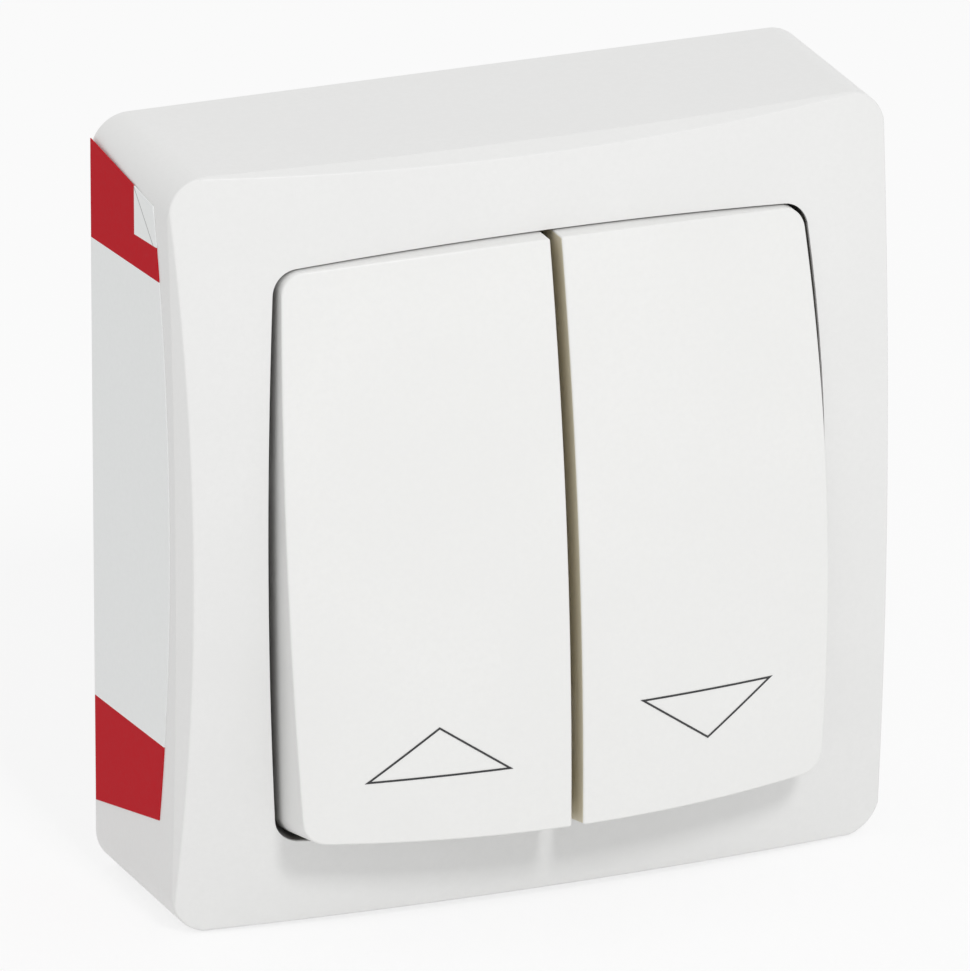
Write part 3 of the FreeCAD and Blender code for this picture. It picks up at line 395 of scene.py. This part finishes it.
def moulded_surface_group():
    """Fine moulded grain with slow flow marks: colour, roughness and normal."""
    name = "Moulded surface"
    if name in bpy.data.node_groups:
        return bpy.data.node_groups[name]
    group = bpy.data.node_groups.new(name, "ShaderNodeTree")
    add_socket(group, "Color", "NodeSocketColor", "INPUT", (0.8, 0.8, 0.8, 1.0))
    add_socket(group, "Tint", "NodeSocketColor", "INPUT", (0.75, 0.75, 0.72, 1.0))
    add_socket(group, "Grain scale", "NodeSocketFloat", "INPUT", 1600.0)
    add_socket(group, "Grain depth", "NodeSocketFloat", "INPUT", 0.00001)
    add_socket(group, "Low roughness", "NodeSocketFloat", "INPUT", 0.28)
    add_socket(group, "High roughness", "NodeSocketFloat", "INPUT", 0.38)
    add_socket(group, "Color", "NodeSocketColor", "OUTPUT")
    add_socket(group, "Roughness", "NodeSocketFloat", "OUTPUT")
    add_socket(group, "Normal", "NodeSocketVector", "OUTPUT")
    nodes, links = group.nodes, group.links
    given = nodes.new("NodeGroupInput")
    result = nodes.new("NodeGroupOutput")
    place = nodes.new("ShaderNodeTexCoord")
    flow = nodes.new("ShaderNodeTexNoise")
    flow.inputs["Scale"].default_value = 55.0
    flow.inputs["Detail"].default_value = 3.0
    flow.inputs["Distortion"].default_value = 0.6
    grain = nodes.new("ShaderNodeTexNoise")
    grain.inputs["Detail"].default_value = 4.0
    grain.inputs["Roughness"].default_value = 0.6
    links.new(place.outputs["Object"], flow.inputs["Vector"])
    links.new(place.outputs["Object"], grain.inputs["Vector"])
    links.new(given.outputs["Grain scale"], grain.inputs["Scale"])
    both = nodes.new("ShaderNodeMath")
    both.operation = "MULTIPLY"
    links.new(flow.outputs["Fac"], both.inputs[0])
    links.new(grain.outputs["Fac"], both.inputs[1])
    share = nodes.new("ShaderNodeMapRange")
    share.inputs["From Min"].default_value = 0.12
    share.inputs["From Max"].default_value = 0.42
    links.new(both.outputs["Value"], share.inputs["Value"])
    color = nodes.new("ShaderNodeMix")
    color.data_type = "RGBA"
    links.new(share.outputs["Result"], color.inputs["Factor"])
    links.new(given.outputs["Tint"], color.inputs["A"])
    links.new(given.outputs["Color"], color.inputs["B"])
    rough = nodes.new("ShaderNodeMapRange")
    rough.inputs["From Min"].default_value = 0.3
    rough.inputs["From Max"].default_value = 0.7
    links.new(flow.outputs["Fac"], rough.inputs["Value"])
    links.new(given.outputs["Low roughness"], rough.inputs["To Min"])
    links.new(given.outputs["High roughness"], rough.inputs["To Max"])
    relief = nodes.new("ShaderNodeBump")
    relief.inputs["Strength"].default_value = 0.6
    links.new(grain.outputs["Fac"], relief.inputs["Height"])
    links.new(given.outputs["Grain depth"], relief.inputs["Distance"])
    links.new(color.outputs["Result"], result.inputs["Color"])
    links.new(rough.outputs["Result"], result.inputs["Roughness"])
    links.new(relief.outputs["Normal"], result.inputs["Normal"])
    return group


def stamped_metal_group():
    """Fine rolling lines and stains on metal: colour, roughness and normal."""
    name = "Stamped metal"
    if name in bpy.data.node_groups:
        return bpy.data.node_groups[name]
    group = bpy.data.node_groups.new(name, "ShaderNodeTree")
    add_socket(group, "Color", "NodeSocketColor", "INPUT", (0.6, 0.6, 0.6, 1.0))
    add_socket(group, "Stain", "NodeSocketColor", "INPUT", (0.4, 0.4, 0.4, 1.0))
    add_socket(group, "Line scale", "NodeSocketFloat", "INPUT", 900.0)
    add_socket(group, "Color", "NodeSocketColor", "OUTPUT")
    add_socket(group, "Roughness", "NodeSocketFloat", "OUTPUT")
    add_socket(group, "Normal", "NodeSocketVector", "OUTPUT")
    nodes, links = group.nodes, group.links
    given = nodes.new("NodeGroupInput")
    result = nodes.new("NodeGroupOutput")
    place = nodes.new("ShaderNodeTexCoord")
    stretch = nodes.new("ShaderNodeMapping")
    stretch.inputs["Scale"].default_value = (1.0, 1.0, 0.06)
    lines = nodes.new("ShaderNodeTexNoise")
    lines.inputs["Detail"].default_value = 3.0
    stains = nodes.new("ShaderNodeTexNoise")
    stains.inputs["Scale"].default_value = 180.0
    stains.inputs["Detail"].default_value = 5.0
    links.new(place.outputs["Object"], stretch.inputs["Vector"])
    links.new(stretch.outputs["Vector"], lines.inputs["Vector"])
    links.new(given.outputs["Line scale"], lines.inputs["Scale"])
    links.new(place.outputs["Object"], stains.inputs["Vector"])
    share = nodes.new("ShaderNodeMapRange")
    share.inputs["From Min"].default_value = 0.35
    share.inputs["From Max"].default_value = 0.7
    links.new(stains.outputs["Fac"], share.inputs["Value"])
    color = nodes.new("ShaderNodeMix")
    color.data_type = "RGBA"
    links.new(share.outputs["Result"], color.inputs["Factor"])
    links.new(given.outputs["Color"], color.inputs["A"])
    links.new(given.outputs["Stain"], color.inputs["B"])
    rough = nodes.new("ShaderNodeMapRange")
    rough.inputs["To Min"].default_value = 0.22
    rough.inputs["To Max"].default_value = 0.5
    links.new(lines.outputs["Fac"], rough.inputs["Value"])
    relief = nodes.new("ShaderNodeBump")
    relief.inputs["Strength"].default_value = 0.5
    relief.inputs["Distance"].default_value = 0.00002
    links.new(lines.outputs["Fac"], relief.inputs["Height"])
    links.new(color.outputs["Result"], result.inputs["Color"])
    links.new(rough.outputs["Result"], result.inputs["Roughness"])
    links.new(relief.outputs["Normal"], result.inputs["Normal"])
    return group


def empty_material(name):
    """New material with a Principled shader, ready to be linked."""
    material = bpy.data.materials.new(name)
    material.use_nodes = True
    nodes, links = material.node_tree.nodes, material.node_tree.links
    return material, nodes, links, nodes["Principled BSDF"]


def with_alpha(color):
    return (color[0], color[1], color[2], 1.0)


def shaded(color, factor):
    return (color[0] * factor, color[1] * factor, color[2] * factor, 1.0)


def plastic_material(name, color, roughness=(0.28, 0.38), depth=0.00001, specular=0.3):
    """Moulded plastic of one colour."""
    if name in bpy.data.materials:
        return bpy.data.materials[name]
    material, nodes, links, shader = empty_material(name)
    surface = nodes.new("ShaderNodeGroup")
    surface.node_tree = moulded_surface_group()
    surface.inputs["Color"].default_value = with_alpha(color)
    surface.inputs["Tint"].default_value = shaded(color, 0.975)
    surface.inputs["Grain scale"].default_value = 1.0 / settings().plastic.grain_size
    surface.inputs["Grain depth"].default_value = depth
    surface.inputs["Low roughness"].default_value = roughness[0]
    surface.inputs["High roughness"].default_value = roughness[1]
    shader.inputs["Specular IOR Level"].default_value = specular
    links.new(surface.outputs["Color"], shader.inputs["Base Color"])
    links.new(surface.outputs["Roughness"], shader.inputs["Roughness"])
    links.new(surface.outputs["Normal"], shader.inputs["Normal"])
    return material


def tinted(material, color, mask):
    """Mixes another colour into a plastic's base colour where a mask is 1."""
    nodes, links = material.node_tree.nodes, material.node_tree.links
    base = nodes["Principled BSDF"].inputs["Base Color"]
    mixed = nodes.new("ShaderNodeMix")
    mixed.data_type = "RGBA"
    mixed.inputs["B"].default_value = with_alpha(color)
    links.new(mask, mixed.inputs["Factor"])
    links.new(base.links[0].from_socket, mixed.inputs["A"])
    links.new(mixed.outputs["Result"], base)


def rocker_material():
    """White plastic with painted shade: its two walls in the gap between the rockers are coloured darker and
    warmer, standing in for the shade and warm bounce light there.
    """
    material = plastic_material("White rocker plastic", settings().plastic.rocker_color)
    nodes, links = material.node_tree.nodes, material.node_tree.links
    place = nodes.new("ShaderNodeTexCoord")
    split = nodes.new("ShaderNodeSeparateXYZ")
    links.new(place.outputs["Object"], split.inputs["Vector"])
    # Painted shade on both walls of the gap: points nearer the middle than the rockers' inner walls take the
    # gap colour.
    aside = math_node(nodes, links, "ABSOLUTE", split.outputs["X"], 0.0)
    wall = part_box("down_rocker")[0][0] + ON_DOME
    tinted(material, settings().plastic.gap_shade_color, math_node(nodes, links, "LESS_THAN", aside, wall))
    return material


def cover_material():
    """White plastic with painted shade: its collar, inside the opening, is coloured dark to stand in for the
    shade in the gap round the rockers.
    """
    material = plastic_material("White cover plastic", settings().plastic.cover_color)
    nodes, links = material.node_tree.nodes, material.node_tree.links
    place = nodes.new("ShaderNodeTexCoord")
    centre = nodes.new("ShaderNodeVectorMath")
    centre.operation = "DISTANCE"
    centre.inputs[1].default_value = (0.0, COVER_DOME_RADIUS - COVER_DOME_DEPTH, 0.0)
    links.new(place.outputs["Object"], centre.inputs[0])
    under = math_node(nodes, links, "SUBTRACT", COVER_DOME_RADIUS, centre.outputs["Value"])
    split = nodes.new("ShaderNodeSeparateXYZ")
    links.new(place.outputs["Object"], split.inputs["Vector"])
    deep = math_node(nodes, links, "GREATER_THAN", under, COLLAR_EDGE)
    inside = math_node(nodes, links, "ABSOLUTE", split.outputs["X"], 0.0)
    inside = math_node(nodes, links, "LESS_THAN", inside, COLLAR_HALF_WIDTH)
    upright = math_node(nodes, links, "ABSOLUTE", split.outputs["Z"], 0.0)
    upright = math_node(nodes, links, "LESS_THAN", upright, COLLAR_HALF_HEIGHT)
    # Painted shade on the collar: inside the opening and deeper under the dome than COLLAR_EDGE.
    mask = math_node(nodes, links, "MULTIPLY", deep, math_node(nodes, links, "MULTIPLY", inside, upright))
    tinted(material, settings().plastic.collar_shade_color, mask)
    return material


def metal_material(name, color):
    """Stamped or turned metal of one colour."""
    if name in bpy.data.materials:
        return bpy.data.materials[name]
    material, nodes, links, shader = empty_material(name)
    surface = nodes.new("ShaderNodeGroup")
    surface.node_tree = stamped_metal_group()
    surface.inputs["Color"].default_value = with_alpha(color)
    surface.inputs["Stain"].default_value = shaded(color, 0.72)
    shader.inputs["Metallic"].default_value = 1.0
    links.new(surface.outputs["Color"], shader.inputs["Base Color"])
    links.new(surface.outputs["Roughness"], shader.inputs["Roughness"])
    links.new(surface.outputs["Normal"], shader.inputs["Normal"])
    return material


def math_node(nodes, links, operation, first, second):
    """Math node whose inputs are sockets or plain numbers."""
    node = nodes.new("ShaderNodeMath")
    node.operation = operation
    for socket, value in zip(node.inputs, (first, second)):
        if isinstance(value, (int, float)):
            socket.default_value = value
        else:
            links.new(value, socket)
    return node.outputs["Value"]


def label_places(nodes, links):
    """Depth and height of a point on the label, in millimetres."""
    place = nodes.new("ShaderNodeTexCoord")
    split = nodes.new("ShaderNodeSeparateXYZ")
    links.new(place.outputs["Object"], split.inputs["Vector"])
    depth = math_node(nodes, links, "MULTIPLY", split.outputs["Y"], -1000.0)
    height = math_node(nodes, links, "MULTIPLY", split.outputs["Z"], 1000.0)
    return place, depth, height


def height_over_line(nodes, links, depth, height, line):
    """How far a point lies above a sloping line, in millimetres."""
    (start_depth, start_height), (end_depth, end_height) = line
    slope = (end_height - start_height) / (end_depth - start_depth)
    level = math_node(nodes, links, "MULTIPLY", depth, slope)
    level = math_node(nodes, links, "ADD", level, start_height - slope * start_depth)
    return math_node(nodes, links, "SUBTRACT", height, level)


def label_material():
    """Printed paper: bare in the middle, a red block at each end, one corner of it bare."""
    material, nodes, links, shader = empty_material("Printed label")
    choice = settings().label
    place, depth, height = label_places(nodes, links)
    over_upper = height_over_line(nodes, links, depth, height, UPPER_BLOCK)
    over_lower = height_over_line(nodes, links, depth, height, LOWER_BLOCK)
    over_notch = height_over_line(nodes, links, depth, height, NOTCH_FLOOR)
    upper = math_node(nodes, links, "GREATER_THAN", over_upper, 0.0)
    lower = math_node(nodes, links, "LESS_THAN", over_lower, 0.0)
    notch_high = math_node(nodes, links, "GREATER_THAN", over_notch, 0.0)
    notch_deep = math_node(nodes, links, "GREATER_THAN", depth, NOTCH_SIDE)
    notch = math_node(nodes, links, "MULTIPLY", notch_high, notch_deep)
    bare = math_node(nodes, links, "SUBTRACT", 1.0, notch)
    red = math_node(nodes, links, "MULTIPLY", math_node(nodes, links, "MAXIMUM", upper, lower), bare)
    fibres = nodes.new("ShaderNodeTexNoise")
    fibres.inputs["Scale"].default_value = 2200.0
    fibres.inputs["Detail"].default_value = 3.0
    links.new(place.outputs["Object"], fibres.inputs["Vector"])
    paper = nodes.new("ShaderNodeMix")
    paper.data_type = "RGBA"
    paper.inputs["A"].default_value = shaded(choice.paper_color, 0.95)
    paper.inputs["B"].default_value = with_alpha(choice.paper_color)
    links.new(fibres.outputs["Fac"], paper.inputs["Factor"])
    # Painted shade: a darker line along the fold across the bare corner, in place of the crease's shade.
    over_fold = height_over_line(nodes, links, depth, height, NOTCH_FOLD)
    off_fold = math_node(nodes, links, "ABSOLUTE", over_fold, 0.0)
    fold_near = math_node(nodes, links, "LESS_THAN", off_fold, NOTCH_FOLD_HALF)
    fold = math_node(nodes, links, "MULTIPLY", fold_near, notch)
    fold_shade = nodes.new("ShaderNodeMix")
    fold_shade.data_type = "RGBA"
    fold_shade.inputs["B"].default_value = shaded(choice.paper_color, 0.55)
    links.new(fold, fold_shade.inputs["Factor"])
    links.new(paper.outputs["Result"], fold_shade.inputs["A"])
    block = nodes.new("ShaderNodeMix")
    block.data_type = "RGBA"
    block.inputs["A"].default_value = shaded(choice.block_color, 0.92)
    block.inputs["B"].default_value = with_alpha(choice.block_color)
    links.new(fibres.outputs["Fac"], block.inputs["Factor"])
    printed = nodes.new("ShaderNodeMix")
    printed.data_type = "RGBA"
    links.new(red, printed.inputs["Factor"])
    links.new(fold_shade.outputs["Result"], printed.inputs["A"])
    links.new(block.outputs["Result"], printed.inputs["B"])
    links.new(printed.outputs["Result"], shader.inputs["Base Color"])
    shader.inputs["Specular IOR Level"].default_value = 0.05
    rough = nodes.new("ShaderNodeMapRange")
    rough.inputs["To Min"].default_value = 0.5
    rough.inputs["To Max"].default_value = 0.7
    links.new(fibres.outputs["Fac"], rough.inputs["Value"])
    links.new(rough.outputs["Result"], shader.inputs["Roughness"])
    relief = nodes.new("ShaderNodeBump")
    relief.inputs["Strength"].default_value = 0.3
    relief.inputs["Distance"].default_value = 0.00001
    links.new(fibres.outputs["Fac"], relief.inputs["Height"])
    links.new(relief.outputs["Normal"], shader.inputs["Normal"])
    return material


def ink_material():
    """Pad printed ink, a little thinner here and there."""
    material, nodes, links, shader = empty_material("Printed ink")
    ink = settings().label.ink_color
    place = nodes.new("ShaderNodeTexCoord")
    cover = nodes.new("ShaderNodeTexNoise")
    cover.inputs["Scale"].default_value = 900.0
    links.new(place.outputs["Object"], cover.inputs["Vector"])
    color = nodes.new("ShaderNodeMix")
    color.data_type = "RGBA"
    color.inputs["A"].default_value = with_alpha(ink)
    color.inputs["B"].default_value = (ink[0] + 0.03, ink[1] + 0.03, ink[2] + 0.03, 1.0)
    links.new(cover.outputs["Fac"], color.inputs["Factor"])
    links.new(color.outputs["Result"], shader.inputs["Base Color"])
    rough = nodes.new("ShaderNodeMapRange")
    rough.inputs["To Min"].default_value = 0.4
    rough.inputs["To Max"].default_value = 0.55
    links.new(cover.outputs["Fac"], rough.inputs["Value"])
    links.new(rough.outputs["Result"], shader.inputs["Roughness"])
    return material


def floor_material():
    """Pale floor that the camera sees as nearly white, with the switch's soft shadow on it."""
    material, nodes, links, shader = empty_material("Pale floor")
    shader.inputs["Base Color"].default_value = (0.9, 0.9, 0.9, 1.0)
    shader.inputs["Roughness"].default_value = 0.8
    shader.inputs["Specular IOR Level"].default_value = 0.0
    glow = nodes.new("ShaderNodeEmission")
    path = nodes.new("ShaderNodeLightPath")
    seen = math_node(nodes, links, "MAXIMUM", path.outputs["Is Camera Ray"], path.outputs["Is Glossy Ray"])
    seen = math_node(nodes, links, "MAXIMUM", seen, path.outputs["Is Transmission Ray"])
    share = math_node(nodes, links, "MULTIPLY", seen, FLOOR_GLOW)
    mixed = nodes.new("ShaderNodeMixShader")
    links.new(share, mixed.inputs["Fac"])
    links.new(shader.outputs["BSDF"], mixed.inputs[1])
    links.new(glow.outputs["Emission"], mixed.inputs[2])
    links.new(mixed.outputs["Shader"], nodes["Material Output"].inputs["Surface"])
    return material


class SWITCH_OT_cover(bpy.types.Operator):
    """Finish the surround cover"""

    bl_idname = "shutter_switch.cover"
    bl_label = "Surround Cover"

    def execute(self, context):
        cover = smooth_shell("surround_cover", cover_material(), crease=20.0)
        true_normals(cover, cover_dome_normal)
        return {"FINISHED"}


class SWITCH_OT_rockers(bpy.types.Operator):
    """Finish the two rockers"""

    bl_idname = "shutter_switch.rockers"
    bl_label = "Rockers"

    def execute(self, context):
        finish = rocker_material()
        for side in ("up", "down"):
            true_normals(smooth_shell(f"{side}_rocker", finish), rocker_face_normal)
        return {"FINISHED"}


class SWITCH_OT_marks(bpy.types.Operator):
    """Finish the printed triangles"""

    bl_idname = "shutter_switch.marks"
    bl_label = "Printed Triangles"

    def execute(self, context):
        finish = ink_material()
        for side in ("up", "down"):
            dress_node(f"{side}_printed_mark", finish)
        return {"FINISHED"}


class SWITCH_OT_label(bpy.types.Operator):
    """Finish the side label"""

    bl_idname = "shutter_switch.label"
    bl_label = "Side Label"

    def execute(self, context):
        dress_node("side_label", label_material())
        return {"FINISHED"}


class SWITCH_OT_base(bpy.types.Operator):
    """Finish the wall base, the housing and the pivot frame"""

    bl_idname = "shutter_switch.base"
    bl_label = "Base and Housing"

    def execute(self, context):
        plastic = settings().plastic
        rough = (0.45, 0.6)
        pale = plastic_material("Pale base plastic", plastic.base_color, rough, 0.00003)
        grey = plastic_material("Grey housing plastic", plastic.housing_color, rough, 0.00003)
        smooth_shell("wall_base", pale)
        smooth_shell("pivot_frame", pale)
        smooth_shell("mechanism_housing", grey)
        return {"FINISHED"}


class SWITCH_OT_carriers(bpy.types.Operator):
    """Finish the actuators and their plungers"""

    bl_idname = "shutter_switch.carriers"
    bl_label = "Actuators and Plungers"

    def execute(self, context):
        plastic = settings().plastic
        pale = plastic_material("Pale actuator plastic", plastic.base_color, (0.35, 0.5), 0.00002)
        dark = plastic_material("Dark plunger plastic", plastic.plunger_color, (0.3, 0.45), 0.00002)
        for side in ("up", "down"):
            smooth_shell(f"{side}_actuator", pale)
            smooth_shell(f"{side}_plunger", dark)
        return {"FINISHED"}


class SWITCH_OT_contacts(bpy.types.Operator):
    """Finish the contact parts and the terminals"""

    bl_idname = "shutter_switch.contacts"
    bl_label = "Contacts"

    def execute(self, context):
        metal = settings().metal
        brass = metal_material("Brass", metal.brass_color)
        silver = metal_material("Contact silver", metal.silver_color)
        for node in ("common_bar", "terminal_blocks"):
            smooth_shell(node, brass)
        for side in ("up", "down"):
            smooth_shell(f"{side}_output_strip", brass)
            smooth_shell(f"{side}_seesaw_contact", brass)
            smooth_shell(f"{side}_moving_button", silver)
        smooth_shell("fixed_contact_buttons", silver)
        return {"FINISHED"}


class SWITCH_OT_fasteners(bpy.types.Operator):
    """Finish the screws and the springs"""

    bl_idname = "shutter_switch.fasteners"
    bl_label = "Screws and Springs"

    def execute(self, context):
        steel = metal_material("Zinc plated steel", settings().metal.steel_color)
        for node in ("terminal_screws", "mechanism_screws", "up_plunger_spring", "down_plunger_spring"):
            smooth_shell(node, steel)
        return {"FINISHED"}


def aim(piece, target):
    """Turns a lamp or a camera so that it looks at a point."""
    piece.rotation_euler = (Vector(target) - piece.location).to_track_quat("-Z", "Y").to_euler()


def soft_lamp(name, place, size, power):
    """Large square lamp that points at the switch."""
    bpy.ops.object.light_add(type="AREA", location=place)
    lamp = bpy.context.object
    lamp.name = name
    lamp.data.size = size
    lamp.data.energy = power
    aim(lamp, LAMP_AIM)
    return lamp


class SWITCH_OT_stage(bpy.types.Operator):
    """Add the floor, the key lamp, the room light and the camera"""

    bl_idname = "shutter_switch.stage"
    bl_label = "Stage"

    def execute(self, context):
        stage = settings().stage
        bpy.ops.object.select_all(action="DESELECT")
        bpy.ops.mesh.primitive_plane_add(size=FLOOR_SIZE, location=(0.0, 0.0, CAD_BOX[0][2]))
        floor = context.object
        floor.name = "Floor"
        floor.data.materials.append(floor_material())
        soft_lamp("Key lamp", LAMP_PLACE, LAMP_SIZE, stage.key_power)
        world = bpy.data.worlds.new("Pale room")
        context.scene.world = world
        world.use_nodes = True
        nodes, links = world.node_tree.nodes, world.node_tree.links
        room = nodes["Background"]
        room.inputs["Color"].default_value = (1.0, 1.0, 1.0, 1.0)
        room.inputs["Strength"].default_value = stage.world_strength
        seen = nodes.new("ShaderNodeBackground")
        seen.inputs["Color"].default_value = (1.0, 1.0, 1.0, 1.0)
        seen.inputs["Strength"].default_value = 1.0
        path = nodes.new("ShaderNodeLightPath")
        glossy = path.outputs["Is Glossy Ray"]
        share = math_node(nodes, links, "MAXIMUM", path.outputs["Is Camera Ray"], glossy)
        share = math_node(nodes, links, "MAXIMUM", share, path.outputs["Is Transmission Ray"])
        mixed = nodes.new("ShaderNodeMixShader")
        links.new(share, mixed.inputs["Fac"])
        links.new(room.outputs["Background"], mixed.inputs[1])
        links.new(seen.outputs["Background"], mixed.inputs[2])
        links.new(mixed.outputs["Shader"], nodes["World Output"].inputs["Surface"])
        level = math.cos(stage.view_elevation)
        back = Vector(
            (
                -math.sin(stage.view_azimuth) * level,
                -math.cos(stage.view_azimuth) * level,
                math.sin(stage.view_elevation),
            )
        )
        target = Vector(stage.view_target)
        bpy.ops.object.camera_add(location=target + back * stage.view_distance)
        camera = context.object
        camera.data.sensor_width = SENSOR_WIDTH
        camera.data.lens = stage.view_lens
        camera.data.clip_start = NEAREST
        camera.data.clip_end = FARTHEST
        aim(camera, target)
        context.scene.camera = camera
        context.scene.view_settings.view_transform = "Standard"
        return {"FINISHED"}


OPERATORS = (
    SWITCH_OT_cover,
    SWITCH_OT_rockers,
    SWITCH_OT_marks,
    SWITCH_OT_label,
    SWITCH_OT_base,
    SWITCH_OT_carriers,
    SWITCH_OT_contacts,
    SWITCH_OT_fasteners,
    SWITCH_OT_stage,
)


class SWITCH_PT_panel(bpy.types.Panel):
    """Lists the pieces of the switch and their settings."""

    bl_idname = "SWITCH_PT_panel"
    bl_label = "Shutter Switch"
    bl_space_type = "VIEW_3D"
    bl_region_type = "UI"
    bl_category = "Shutter Switch"

    def draw(self, context):
        layout = self.layout
        for operator in OPERATORS:
            layout.operator(operator.bl_idname)
        for part in (settings().plastic, settings().label, settings().metal, settings().stage):
            box = layout.box()
            for name in type(part).__annotations__:
                box.prop(part, name)


GROUPS = (PlasticSettings, PrintSettings, MetalSettings, StageSettings, SwitchSettings)
CLASSES = GROUPS + OPERATORS + (SWITCH_PT_panel,)


def register():
    for cls in CLASSES:
        bpy.utils.register_class(cls)
    bpy.types.Scene.shutter_switch = PointerProperty(type=SwitchSettings)


def unregister():
    del bpy.types.Scene.shutter_switch
    for cls in reversed(CLASSES):
        bpy.utils.unregister_class(cls)


def main():
    register()
    for piece in ("cover", "rockers", "marks", "label", "base", "carriers", "contacts", "fasteners", "stage"):
        getattr(bpy.ops.shutter_switch, piece)()


if __name__ == "__main__":
    main()
